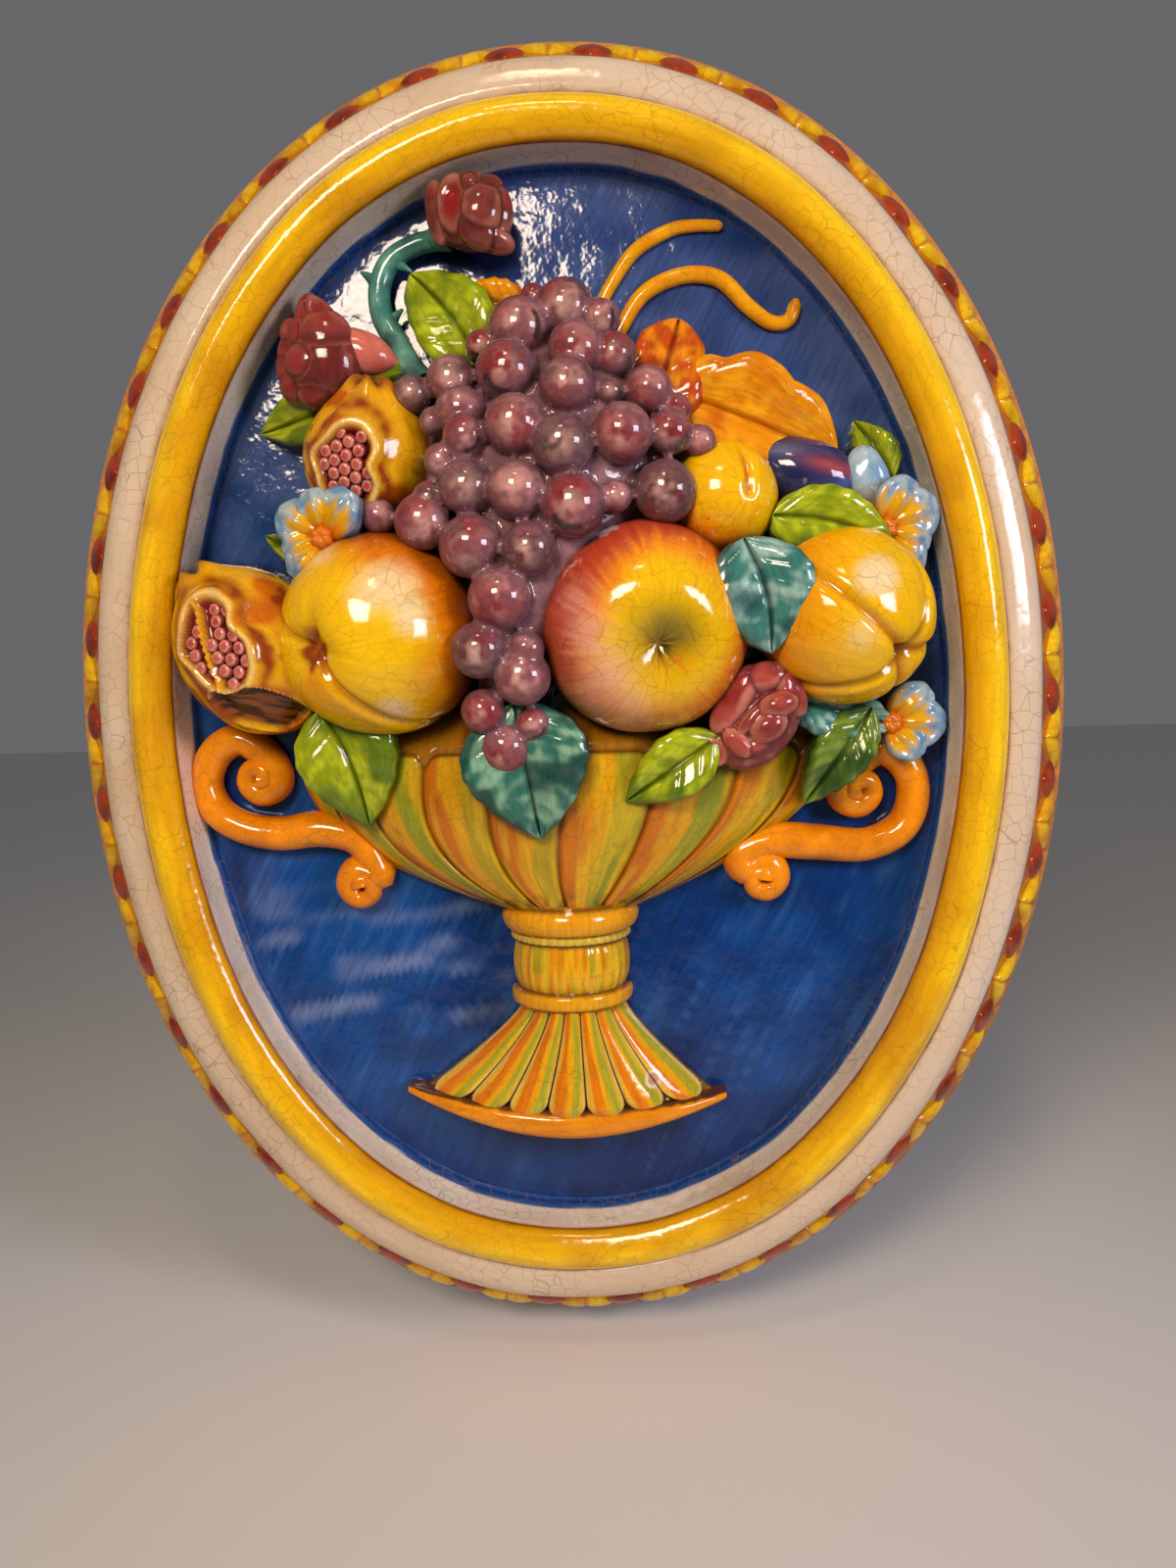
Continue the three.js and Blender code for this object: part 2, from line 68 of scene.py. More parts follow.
Surface = Callable[[Array, Array], Array]
Obj = bpy.types.Object
Tree = bpy.types.NodeTree
Socket = bpy.types.NodeSocket


# ---- numbers and colours
def srgb(text: str) -> Array:
    """One sRGB hex colour as linear red, green and blue.

    Args:
        text: six hex digits, with or without a leading mark.

    Returns:
        Three linear values from 0 to 1.
    """
    digits = text.lstrip("#")
    raw = np.array([int(digits[i:i + 2], 16) / 255 for i in (0, 2, 4)])
    return np.where(raw <= 0.04045, raw / 12.92, ((raw + 0.055) / 1.055) ** 2.4)


def smooth(low: float, high: float, value: Array) -> Array:
    """A soft step from 0 at low to 1 at high; low may be the larger of the two."""
    share = np.clip((value - low) / (high - low), 0, 1)
    return share * share * (3 - 2 * share)


def bell(value: Array, width: float) -> Array:
    """A bell curve of height 1 and the given half width."""
    return np.exp(-((value / width) ** 2))


def mixed(first: Colour, second: Colour, share: Array) -> Array:
    """Blend two colours, given as hex digits or as linear colours, by a share for each point."""
    low, high = (srgb(colour) if isinstance(colour, str) else colour for colour in (first, second))
    weight = np.clip(np.asarray(share), 0, 1)[..., None]
    return low * (1 - weight) + high * weight


class Paint:
    """The colours of a mesh's points, brushed one over another."""

    def __init__(self, first: Colour, second: Colour, share: Array) -> None:
        """Start from two colours, blended by a share for each point."""
        self.colour = mixed(first, second, share)

    def over(self, colour: Colour, share: Array) -> None:
        """Brush one more colour over, by a share for each point."""
        self.colour = mixed(self.colour, colour, share)


def rows(*values: Array) -> Array:
    """Lists of numbers side by side, one row for each point."""
    return np.stack(values, axis=1)


def grain(points: Array, size: Sequence[float] | float, seed: int = 0) -> Array:
    """Smooth random values from 0 to 1, one for each point.

    Args:
        points: an array of n points with three numbers each.
        size: how far apart the random values lie, once or for each axis.
        seed: another pattern for each whole number.

    Returns:
        n values that change smoothly over the distance given by size.
    """
    spot = np.asarray(points, float) / np.asarray(size, float)
    cell = np.floor(spot).astype(np.int64)
    part = spot - cell
    part = part * part * (3 - 2 * part)
    table = np.random.default_rng(17).random(8192)
    total = np.zeros(len(spot))
    for corner in range(8):
        step = np.array([(corner >> axis) & 1 for axis in range(3)])
        at = cell + step
        key = (at[:, 0] * 73856093) ^ (at[:, 1] * 19349663) ^ (at[:, 2] * 83492791) ^ (seed * 7919)
        weight = np.prod(np.where(step, part, 1 - part), axis=1)
        total += weight * table[key & 8191]
    return total


def clouds(points: Array, coarse: float, fine: float, seed: int, share: float = 0.6) -> Array:
    """Two sizes of grain together; share is the coarse one's, and the fine one has the next seed."""
    return grain(points, coarse, seed) * share + grain(points, fine, seed + 1) * (1 - share)


def flow(points: Sequence[Sequence[float]], count: int) -> Array:
    """A smooth line through a few points (Catmull-Rom), at evenly spaced stations.

    Args:
        points: the places that the line passes through, two or more numbers each.
        count: how many stations the line gets.

    Returns:
        An array of stations.
    """
    knots = np.asarray(points, float)
    knots = np.vstack([2 * knots[0] - knots[1], knots, 2 * knots[-1] - knots[-2]])
    fine = []
    for i in range(1, len(knots) - 2):
        t = np.linspace(0, 1, 24, endpoint=False)[:, None]
        a, b, c, d = knots[i - 1:i + 3]
        fine.append(0.5 * (2 * b + (c - a) * t + (2 * a - 5 * b + 4 * c - d) * t ** 2
                           + (3 * b - a - 3 * c + d) * t ** 3))
    line = np.vstack([*fine, knots[-2:-1]])
    along = np.concatenate([[0], np.cumsum(np.linalg.norm(np.diff(line, axis=0), axis=1))])
    want = np.linspace(0, along[-1], count)
    return np.stack([np.interp(want, along, line[:, k]) for k in range(line.shape[1])], axis=1)


# ---- the oval ground
@dataclass(frozen=True)
class Ground:
    """The oval body's sizes, from the frame's box, and the way from relief places to metres.

    The oval's own centre lies a little (lift) above the centre that the relief is laid out from.
    """

    half_width: float
    half_height: float
    centre_z: float
    power: float = 2.07
    back_spread: float = 17.5
    field_height: float = 15.0
    field_inset: float = 33.0
    lift: float = 1.3

    @classmethod
    def from_frame(cls) -> "Ground":
        """Read the oval's size and centre from the frame's box, where the back is the widest part."""
        low, high = (np.array(corner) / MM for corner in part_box(NODE))
        spread = cls.back_spread
        middle = (low + high) / 2
        reach = (high - low) / 2
        return cls(reach[0] - spread, reach[2] - spread, middle[2] - cls.lift)

    def metres(self, places: Array) -> Array:
        """Turn places (x, z, height) in millimetres into frame coordinates in metres."""
        places = np.asarray(places, float)
        return np.stack([places[..., 0], -places[..., 2], places[..., 1] + self.centre_z], axis=-1) * MM

    def places(self, metres: Array) -> Array:
        """Turn frame coordinates in metres into places (x, z, height) in millimetres."""
        raw = np.asarray(metres, float) / MM
        return np.stack([raw[..., 0], raw[..., 2] - self.centre_z, -raw[..., 1]], axis=-1)

    def ring(self, angle: Array, inset: Array) -> tuple[Array, Array]:
        """Points of the oval drawn inside the rim's front edge.

        Args:
            angle: turn from the right-hand side, anticlockwise, in radians.
            inset: how far inside the rim's front edge, in millimetres.

        Returns:
            The x and z of each point.
        """
        bend = 2 / self.power
        across = np.sign(np.cos(angle)) * np.abs(np.cos(angle)) ** bend
        upward = np.sign(np.sin(angle)) * np.abs(np.sin(angle)) ** bend
        inner = np.clip((self.half_width - inset) / (self.half_width - self.field_inset), 0, 1)
        tall = np.where(inset > self.field_inset, (self.half_height - self.field_inset) * inner,
                        self.half_height - inset)
        return (self.half_width - inset) * across, tall * upward + self.lift


# ---- mesh work
def pick_only(obj: Obj) -> None:
    """Make one object the only selected and active one."""
    bpy.ops.object.select_all(action="DESELECT")
    obj.select_set(True)
    bpy.context.view_layer.objects.active = obj


def read_points(obj: Obj) -> Array:
    """All vertex places of a mesh, as stored."""
    out = np.empty(len(obj.data.vertices) * 3)
    obj.data.vertices.foreach_get("co", out)
    return out.reshape(-1, 3)


def write_points(obj: Obj, points: Array) -> None:
    """Store new vertex places in a mesh."""
    obj.data.vertices.foreach_set("co", np.asarray(points, float).ravel())
    obj.data.update()


def write_value(obj: Obj, name: str, values: Array) -> None:
    """Store one number for each vertex under a name."""
    layer = obj.data.attributes.get(name) or obj.data.attributes.new(name, "FLOAT", "POINT")
    layer.data.foreach_set("value", np.asarray(values, np.float32))


def write_paint(obj: Obj, colours: Array) -> None:
    """Store the painted colour of each vertex, linear, under the name paint."""
    layer = obj.data.color_attributes.get("paint")
    layer = layer or obj.data.color_attributes.new("paint", "FLOAT_COLOR", "POINT")
    full = np.ones((len(obj.data.vertices), 4))
    full[:, :3] = np.clip(colours, 0, 1)
    layer.data.foreach_set("color", full.ravel())


def apply_modifier(obj: Obj, kind: str, **settings: object) -> None:
    """Add a modifier with its settings and apply it at once."""
    pick_only(obj)
    modifier = obj.modifiers.new(kind.lower(), kind)
    for key, value in settings.items():
        setattr(modifier, key, value)
    bpy.ops.object.modifier_apply(modifier=modifier.name)


def outward(obj: Obj, merge: float = 1e-6) -> None:
    """Merge double points and turn all faces outwards."""
    pick_only(obj)
    bpy.ops.object.mode_set(mode="EDIT")
    bpy.ops.mesh.select_all(action="SELECT")
    bpy.ops.mesh.remove_doubles(threshold=merge)
    bpy.ops.mesh.normals_make_consistent(inside=False)
    bpy.ops.object.mode_set(mode="OBJECT")


def new_ball(name: str, around: int, rings: int) -> Obj:
    """A ball of radius 1 about the origin, to be shaped."""
    bpy.ops.mesh.primitive_uv_sphere_add(segments=around, ring_count=rings, radius=1)
    obj = bpy.context.active_object
    obj.name = name
    return obj


def new_sheet(name: str, columns: int, lines: int) -> tuple[Obj, Array, Array]:
    """A flat grid, to be shaped.

    Args:
        name: the piece's name.
        columns: cells across it.
        lines: cells along it.

    Returns:
        The grid, and how far each of its points lies across and along it, from 0 to 1.
    """
    bpy.ops.mesh.primitive_grid_add(x_subdivisions=columns, y_subdivisions=lines, size=2)
    obj = bpy.context.active_object
    obj.name = name
    flat = read_points(obj)
    return obj, (flat[:, 0] + 1) / 2, (flat[:, 1] + 1) / 2


def new_raised(ground: Ground, name: str, columns: int, lines: int, surface: Surface,
               root: float = 9.0, lip: float = 0.6) -> Obj:
    """A raised form: a shaped sheet whose border goes back into the clay and is closed there.

    Args:
        ground: turns places into metres.
        name: the piece's name.
        columns: cells across the sheet.
        lines: cells along it.
        surface: gives places (x, z, height) from two numbers u and v, each from 0 to 1.
        root: height above the wall where the form ends inside the clay.
        lip: how far the edge rounds over before it goes back.

    Returns:
        A closed mesh whose first points are the sheet's own.
    """
    obj, u, v = new_sheet(name, columns, lines)
    write_points(obj, ground.metres(surface(u, v)))
    write_value(obj, "u", u)
    write_value(obj, "v", v)
    pick_only(obj)
    bpy.ops.object.mode_set(mode="EDIT")
    bpy.ops.mesh.select_all(action="SELECT")
    bpy.ops.mesh.region_to_loop()
    bpy.ops.mesh.extrude_edges_move(TRANSFORM_OT_translate={"value": (0, lip * MM, 0)})
    bpy.ops.mesh.extrude_edges_move(TRANSFORM_OT_translate={"value": (0, 2 * MM, 0)})
    bpy.ops.object.mode_set(mode="OBJECT")
    points = read_points(obj)
    selected = np.zeros(len(points), bool)
    obj.data.vertices.foreach_get("select", selected)
    points[selected, 1] = -root * MM
    write_points(obj, points)
    bpy.ops.object.mode_set(mode="EDIT")
    bpy.ops.mesh.edge_face_add()
    bpy.ops.object.mode_set(mode="OBJECT")
    outward(obj)
    return obj


def new_strand(ground: Ground, name: str, line: Array, radius: Array, deep: float = 1.0,
               sides: int = 20) -> Obj:
    """A strand of clay along a line of places (x, z, height), thick as radius says at each.

    Args:
        ground: turns places into metres.
        name: the piece's name.
        line: places along the strand.
        radius: half thickness at each place, in millimetres.
        deep: how much deeper than wide the strand is.
        sides: corners of its section.

    Returns:
        A closed mesh with v, from 0 to 1 along the strand, on its points.
    """
    step = np.gradient(line, axis=0)
    step /= np.linalg.norm(step, axis=1)[:, None]
    toward = np.array([0.0, 0.0, 1.0])
    side = np.cross(step, toward)
    side /= np.linalg.norm(side, axis=1)[:, None]
    up = np.cross(side, step)
    turn = np.linspace(0, 2 * np.pi, sides, endpoint=False)
    ring = (side[:, None, :] * np.cos(turn)[None, :, None]
            + up[:, None, :] * np.sin(turn)[None, :, None] * deep)
    body = line[:, None, :] + ring * radius[:, None, None]
    count = len(line)
    points = np.vstack([body.reshape(-1, 3), line[:1], line[-1:]])
    faces = []
    for i in range(count - 1):
        for k in range(sides):
            n = (k + 1) % sides
            faces.append((i * sides + k, i * sides + n, (i + 1) * sides + n, (i + 1) * sides + k))
    first, last = count * sides, count * sides + 1
    for k in range(sides):
        n = (k + 1) % sides
        faces.append((first, n, k))
        faces.append((last, (count - 1) * sides + k, (count - 1) * sides + n))
    mesh = bpy.data.meshes.new(name)
    mesh.from_pydata(ground.metres(points).tolist(), [], faces)
    obj = bpy.data.objects.new(name, mesh)
    bpy.context.scene.collection.objects.link(obj)
    along = np.concatenate([np.repeat(np.linspace(0, 1, count), sides), [0, 1]])
    write_value(obj, "v", along)
    outward(obj)
    return obj


def joined(name: str, parts: Sequence[Obj]) -> Obj:
    """Join several meshes into one object."""
    bpy.ops.object.select_all(action="DESELECT")
    for part in parts:
        part.select_set(True)
    bpy.context.view_layer.objects.active = parts[0]
    bpy.ops.object.join()
    parts[0].name = name
    return parts[0]


def smoothed(obj: Obj, angle: float = 50.0) -> Obj:
    """Shade a mesh smooth except at edges sharper than the angle, in degrees."""
    pick_only(obj)
    bpy.ops.object.shade_smooth_by_angle(angle=math.radians(angle))
    return obj


def turned_ball(ground: Ground, name: str, at: Sequence[float], size: Sequence[float], pole: Sequence[float],
                shape: Surface, around: int = 128, rings: int = 80) -> Obj:
    """A ball with its pole turned towards a direction, swelled or dented by a formula.

    Args:
        ground: turns places into metres.
        name: the piece's name.
        at: the ball's centre (x, z, height).
        size: half sizes across, up and along the pole.
        pole: direction (x, z, height) of the pole.
        shape: gives the share of the full radius from the angle off the pole and the turn round it.
        around: points round the pole.
        rings: rings from pole to pole.

    Returns:
        A closed mesh with polar and around stored on its points.
    """
    obj = new_ball(name, around, rings)
    raw = read_points(obj)
    polar = np.arccos(np.clip(raw[:, 2] / np.linalg.norm(raw, axis=1), -1, 1))
    turn = np.arctan2(raw[:, 0], raw[:, 1])
    swell = shape(polar, turn)
    axis = np.array(pole, float)
    axis /= np.linalg.norm(axis)
    up = np.array([0.0, 1.0, 0.0]) if abs(axis[1]) < 0.95 else np.array([0.0, 0.0, -1.0])
    up = up - axis * up.dot(axis)
    up /= np.linalg.norm(up)
    right = np.cross(up, axis)
    local = raw * swell[:, None] * np.array([size[0], size[1], size[2]])
    places = (np.array(at) + local[:, :1] * right + local[:, 1:2] * up + local[:, 2:] * axis)
    write_points(obj, ground.metres(places))
    write_value(obj, "polar", polar)
    write_value(obj, "around", turn)
    outward(obj, 1e-7)
    return obj


def face_axes(facing: Sequence[float], roll: float) -> Array:
    """The directions of a form that lies on the relief.

    Args:
        facing: the way its face looks, as x, z and height.
        roll: its turn clockwise off the upright, in degrees.

    Returns:
        Three rows: across it, along it and out of its face.
    """
    out = np.array(facing, float)
    out /= np.linalg.norm(out)
    turn = math.radians(roll)
    along = np.array([math.sin(turn), math.cos(turn), 0.0])
    along -= out * along.dot(out)
    along /= np.linalg.norm(along)
    return np.stack([np.cross(along, out), along, out])


@dataclass(frozen=True)
class Lump:
    """A pressed-on lump of clay, such as a petal: a ball squeezed to three half sizes.

    Attributes are its middle (x, z, height), its half width and half length, its roll clockwise off the
    upright in degrees, how far it faces to the right and upwards, how hollow its face is and how thick it is.
    """

    at: tuple[float, float, float]
    half: tuple[float, float]
    roll: float = 0.0
    facing: tuple[float, float] = (0.0, 0.0)
    hollow: float = 0.0
    thick: float = 4.0

    def axes(self) -> Array:
        """Its own directions as rows: across, along and out of its face."""
        return face_axes((*self.facing, 1.0), self.roll)

    def local(self, places: Array) -> Array:
        """Places in its own directions, in shares of its half sizes."""
        apart = (places - np.array(self.at)) @ self.axes().T
        return apart / np.array([self.half[0], self.half[1], self.thick])

    def build(self, ground: Ground) -> Obj:
        """Make it, its back twice as thick as its face so that it roots in the clay."""
        ball = new_ball("lump", 36, 24)
        raw = read_points(ball)
        flat = np.sign(raw[:, :2]) * np.abs(raw[:, :2]) ** 0.92
        far = np.hypot(raw[:, 0], raw[:, 1])
        front = raw[:, 2] > 0
        deep = np.where(front, raw[:, 2] - self.hollow * 1.3 * bell(far, 0.6), raw[:, 2] * 2)
        size = rows(flat[:, 0] * self.half[0], flat[:, 1] * self.half[1], deep * self.thick)
        write_points(ball, ground.metres(np.array(self.at) + size @ self.axes()))
        return ball


def fused(name: str, parts: Sequence[Obj], voxel: float, rounds: int) -> Obj:
    """Run several forms together as one skin, with soft fillets where they meet.

    Args:
        name: the piece's name.
        parts: closed forms that overlap.
        voxel: size of the new skin's cells in millimetres.
        rounds: how often the skin is smoothed.

    Returns:
        One closed mesh.
    """
    whole = joined(name, parts)
    whole.data.remesh_voxel_size = voxel * MM
    pick_only(whole)
    bpy.ops.object.voxel_remesh()
    apply_modifier(whole, "SMOOTH", factor=0.5, iterations=rounds)
    outward(whole, 1e-7)
    return whole


def read_value(obj: Obj, name: str) -> Array:
    """The numbers stored on the vertices under a name."""
    out = np.empty(len(obj.data.vertices), np.float32)
    obj.data.attributes[name].data.foreach_get("value", out)
    return out.astype(float)


def read_uv(obj: Obj) -> tuple[Array, Array]:
    """How far each point lies across a shaped sheet and along it."""
    return read_value(obj, "u"), read_value(obj, "v")


def read_turn(obj: Obj) -> tuple[Array, Array]:
    """Each point's angle off a ball's pole and its turn round it."""
    return read_value(obj, "polar"), read_value(obj, "around")


# ---- glazes
@dataclass(frozen=True)
class Glaze:
    """A transparent gloss glaze over brushed colour on earthenware.

    The colour sits in brush strokes under a clear skin, so it looks wet and streaky; the skin is finely
    crackled, lies in soft waves that bend the highlights, and darkens where forms meet and in hollows, as
    glaze pooled thick there and as painted shade.
    """

    name: str
    stroke_share: float = 0.25
    crackle_mm: float = 6.0
    crackle: str = "5a3c22"
    crackle_share: float = 0.3
    pool_and_shade: str = "2a1608"
    pool_and_shade_share: float = 0.55
    roughness: float = 0.1
    wave_mm: float = 7.0
    wave_depth: float = 0.12

    def build(self) -> bpy.types.Material:
        """Make the material.

        Returns:
            A node material that reads Object coordinates and the point values paint and pool_and_shade.
        """
        material = bpy.data.materials.new(self.name)
        material.use_nodes = True
        tree = material.node_tree
        tree.nodes.clear()
        place = add(tree, "TexCoord")
        strokes = self._strokes(tree)
        colour = self._colour(tree, strokes)
        colour = self._pooled_and_shaded(tree, colour)
        colour, cracks = self._crackled(tree, place, colour)
        relief = self._relief(tree, place, cracks)
        shader = add(tree, "BsdfPrincipled", {"Roughness": self.roughness, "IOR": 1.5},
                     {"Base Color": colour, "Normal": relief})
        add(tree, "OutputMaterial", {}, {"Surface": shader.outputs["BSDF"]})
        return material

    def _strokes(self, tree: Tree) -> Socket:
        """Long soft streaks left by a loaded brush, dark and light by turns."""
        run = add(tree, "Attribute", attribute_name="stroke")
        noise = add(tree, "TexNoise", {"Scale": 1.0, "Detail": 4.0, "Roughness": 0.6, "Distortion": 0.3},
                    {"Vector": run.outputs["Vector"]})
        return noise.outputs["Fac"]

    def _colour(self, tree: Tree, strokes: Socket) -> Socket:
        """The colour brushed on each point, made streaky."""
        paint = add(tree, "Attribute", attribute_name="paint")
        shift = add(tree, "MapRange", {"From Min": 0.3, "From Max": 0.7, "To Min": 1 - self.stroke_share,
                                       "To Max": 1 + 0.6 * self.stroke_share}, {"Value": strokes})
        tint = add(tree, "CombineColor", {}, {"Red": shift.outputs[0], "Green": shift.outputs[0],
                                              "Blue": shift.outputs[0]})
        mix = add(tree, "Mix", {"Factor": 1.0}, {"A": paint.outputs["Color"], "B": tint.outputs["Color"]},
                  data_type="RGBA", blend_type="MULTIPLY")
        return mix.outputs[2]

    def _pooled_and_shaded(self, tree: Tree, colour: Socket) -> Socket:
        """Darker where two forms meet and in hollows: glaze that has run together there, thick, and painted
        shade.
        """
        pool_and_shade = add(tree, "Attribute", attribute_name="pool_and_shade")
        share = add(tree, "Math", {1: self.pool_and_shade_share}, {0: pool_and_shade.outputs["Fac"]}, operation="MULTIPLY")
        mix = add(tree, "Mix", {"B": (*srgb(self.pool_and_shade), 1)}, {"Factor": share.outputs[0], "A": colour},
                  data_type="RGBA")
        return mix.outputs[2]

    def _crackled(self, tree: Tree, place: bpy.types.Node, colour: Socket
                  ) -> tuple[Socket, Socket]:
        """Fine cracks of a glaze that shrank more than its clay, stained where they opened."""
        drift = add(tree, "TexNoise", {"Scale": 1 / (4 * self.crackle_mm * MM), "Detail": 2.0},
                    {"Vector": place.outputs["Object"]})
        wander = add(tree, "VectorMath", {1: (self.crackle_mm * MM,) * 3}, {0: drift.outputs["Color"]},
                     operation="MULTIPLY")
        moved = add(tree, "VectorMath", {}, {0: place.outputs["Object"], 1: wander.outputs[0]},
                    operation="ADD")
        cells = add(tree, "TexVoronoi", {"Scale": 1 / (self.crackle_mm * MM)}, {"Vector": moved.outputs[0]},
                    feature="DISTANCE_TO_EDGE")
        # A real crack is 0.05 mm wide; it is drawn 0.25 mm wide so that it shows.
        line = add(tree, "MapRange", {"From Min": 0.008, "From Max": 0.036, "To Min": 1.0, "To Max": 0.0},
                   {"Value": cells.outputs["Distance"]})
        patches = add(tree, "MapRange", {"From Min": 0.35, "From Max": 0.6, "To Min": 0.25, "To Max": 1.0},
                      {"Value": drift.outputs["Fac"]})
        open_line = add(tree, "Math", {}, {0: line.outputs[0], 1: patches.outputs[0]}, operation="MULTIPLY")
        share = add(tree, "Math", {1: self.crackle_share}, {0: open_line.outputs[0]}, operation="MULTIPLY")
        mix = add(tree, "Mix", {"B": (*srgb(self.crackle), 1)}, {"Factor": share.outputs[0], "A": colour},
                  data_type="RGBA")
        return mix.outputs[2], open_line.outputs[0]

    def _relief(self, tree: Tree, place: bpy.types.Node,
                cracks: Socket) -> Socket:
        """Soft waves in the glaze's skin, and the faint dip of each crack."""
        waves = add(tree, "TexNoise", {"Scale": 1 / (self.wave_mm * MM), "Detail": 2.0, "Roughness": 0.45},
                    {"Vector": place.outputs["Object"]})
        swell = add(tree, "Bump", {"Strength": 0.5, "Distance": self.wave_depth * MM * 4},
                    {"Height": waves.outputs["Fac"]})
        dip = add(tree, "Bump", {"Strength": 0.25, "Distance": 0.03 * MM},
                  {"Height": cracks, "Normal": swell.outputs["Normal"]}, invert=True)
        return dip.outputs["Normal"]


def add(tree: Tree, short: str, values: dict | None = None, links: dict | None = None,
        **settings: object) -> bpy.types.Node:
    """Add a node with its settings, socket values and links.

    Args:
        tree: the node tree.
        short: the node type's name after its first part.
        values: socket name or number to plain value.
        links: socket name or number to the socket that feeds it.
        settings: the node's own properties.

    Returns:
        The new node.
    """
    node = tree.nodes.new("ShaderNode" + short)
    for key, value in settings.items():
        setattr(node, key, value)
    blend = short == "Mix" and settings.get("data_type") == "RGBA"
    slots = {"Factor": 0, "A": 6, "B": 7} if blend else {}
    for key, value in (values or {}).items():
        node.inputs[slots.get(key, key)].default_value = value
    for key, source in (links or {}).items():
        tree.links.new(source, node.inputs[slots.get(key, key)])
    return node


# ---- what every piece of the relief shares
@dataclass
class Piece:
    """One finished mesh with its glaze and the slot of the record that it belongs to."""

    obj: Obj
    glaze: Glaze
    slot: str = "glazed_earthenware"

    def dress(self, materials: dict[str, bpy.types.Material]) -> None:
        """Give the mesh its glaze, made once for all the pieces that share it."""
        if self.glaze.name not in materials:
            materials[self.glaze.name] = self.glaze.build()
        self.obj.data.materials.clear()
        self.obj.data.materials.append(materials[self.glaze.name])


@dataclass
class SubAssembly:
    """A group of forms modelled together."""

    rooted: ClassVar[bool] = True   # its forms end just under the field that they stand on
    ground: Ground
    pieces: list[Piece] = field(default_factory=list)

    def keep(self, obj: Obj, glaze: Glaze, tone: Paint, strokes: Array,
             angle: float = 60.0, slot: str = "glazed_earthenware") -> None:
        """Finish a mesh: smooth shading, its painted colours and the run of its brush strokes.

        Args:
            obj: the finished mesh.
            glaze: what it is dressed with.
            tone: the colours painted on it.
            strokes: for each point, how far it lies along and across the strokes, in strokes.
            angle: edges sharper than this stay sharp, in degrees.
            slot: the record's material slot.
        """
        if self.rooted:
            spots = self.ground.places(read_points(obj))
            spots[:, 2] = np.maximum(spots[:, 2], self.ground.field_height - 4)
            self.put(obj, spots)
        smoothed(obj, angle)
        write_paint(obj, tone.colour)
        layer = obj.data.attributes.get("stroke")
        layer = layer or obj.data.attributes.new("stroke", "FLOAT_VECTOR", "POINT")
        layer.data.foreach_set("vector", np.asarray(strokes, np.float32).ravel())
        self.pieces.append(Piece(obj, glaze, slot))
        log.info("%s: %d points", obj.name, len(obj.data.vertices))

    def put(self, obj: Obj, places: Array) -> None:
        """Move a mesh's points to places (x, z, height)."""
        write_points(obj, self.ground.metres(places))

    def places(self, obj: Obj) -> tuple[Array, Array, Array, Array]:
        """The places of a mesh's points: all three together, then x, z and height apart."""
        spots = self.ground.places(read_points(obj))
        return spots, spots[:, 0], spots[:, 1], spots[:, 2]


def round_strokes(obj: Obj, radius: float, wide: float = 2.5, long: float = 14.0) -> Array:
    """Strokes that run from pole to pole of a ball."""
    polar, turn = read_turn(obj)
    return rows(np.cos(turn) * radius / wide, np.sin(turn) * radius / wide, polar * radius / long)


def flat_strokes(spots: Array, angle: float, wide: float, long: float) -> Array:
    """Strokes in one direction across the face, angle degrees up from the x axis."""
    turn = math.radians(angle)
    along = spots[:, 0] * math.cos(turn) + spots[:, 1] * math.sin(turn)
    across = -spots[:, 0] * math.sin(turn) + spots[:, 1] * math.cos(turn)
    return rows(along / long, across / wide, spots[:, 2] / long)


# ---- the glazes of this plaque
# White tin glaze: opaque, soft cream, with an open net of grey-brown cracks.
CREAM = Glaze("tin_glaze_cream", crackle_mm=6.0, crackle="8a6a4c", crackle_share=0.5, stroke_share=0.05,
              pool_and_shade="6a4428", pool_and_shade_share=0.6, roughness=0.12, wave_mm=9)
# Yellow antimony glaze: warm, translucent, brushed along the roll, its cracks stained brown.
YELLOW = Glaze("antimony_yellow_glaze", crackle_mm=5.5, crackle="6b4a10", crackle_share=0.35,
               stroke_share=0.16, pool_and_shade="7a3a06", pool_and_shade_share=0.7)
# Cobalt blue: brushed thick and thin, so it goes from slate to deep blue within a stroke.
COBALT = Glaze("cobalt_blue_glaze", crackle_mm=7.0, crackle="0c1626", crackle_share=0.0, stroke_share=0.32,
               pool_and_shade="060c22", pool_and_shade_share=0.85, wave_mm=6, wave_depth=0.2)
# Colours of the fruit and leaves, laid wet in wet under one clear glaze.
FRUIT = Glaze("painted_fruit_glaze", crackle_mm=6.0, crackle="4a2c0c", crackle_share=0.3, stroke_share=0.14,
              pool_and_shade="4a1806", pool_and_shade_share=0.7)
# Manganese purple, thin over white: glassy, its highlights small and hard, with hardly a crack.
GRAPE = Glaze("manganese_grape_glaze", crackle_mm=8.0, crackle="2a1418", crackle_share=0.08,
              stroke_share=0.3, pool_and_shade="2a1218", pool_and_shade_share=0.45, roughness=0.07)
# Brick red that fired unevenly, thin on the petals' edges and nearly black in the folds.
PETAL = Glaze("rose_petal_glaze", crackle_mm=6.0, crackle_share=0.05, stroke_share=0.2, pool_and_shade="3a0a0c",
              pool_and_shade_share=0.8)
# Copper green: runny, so it pales on the ribs and pools dark in the veins.
LEAF = Glaze("copper_green_glaze", crackle_mm=6.0, crackle_share=0.05, stroke_share=0.28, pool_and_shade="0c1a08",
             pool_and_shade_share=0.75)
# Ochre, green and orange run together down the flutes, with a close net of brown cracks.
BOWL = Glaze("painted_bowl_glaze", crackle_mm=5.0, crackle="5a3408", crackle_share=0.35, stroke_share=0.22,
             pool_and_shade="4a2806", pool_and_shade_share=0.75)
# Bare red clay of the back, matt, scratched and dusty.
BISQUE = Glaze("fired_red_clay", crackle_share=0.0, stroke_share=0.3, pool_and_shade="4a2414", roughness=0.75,
               wave_mm=3, wave_depth=0.25)


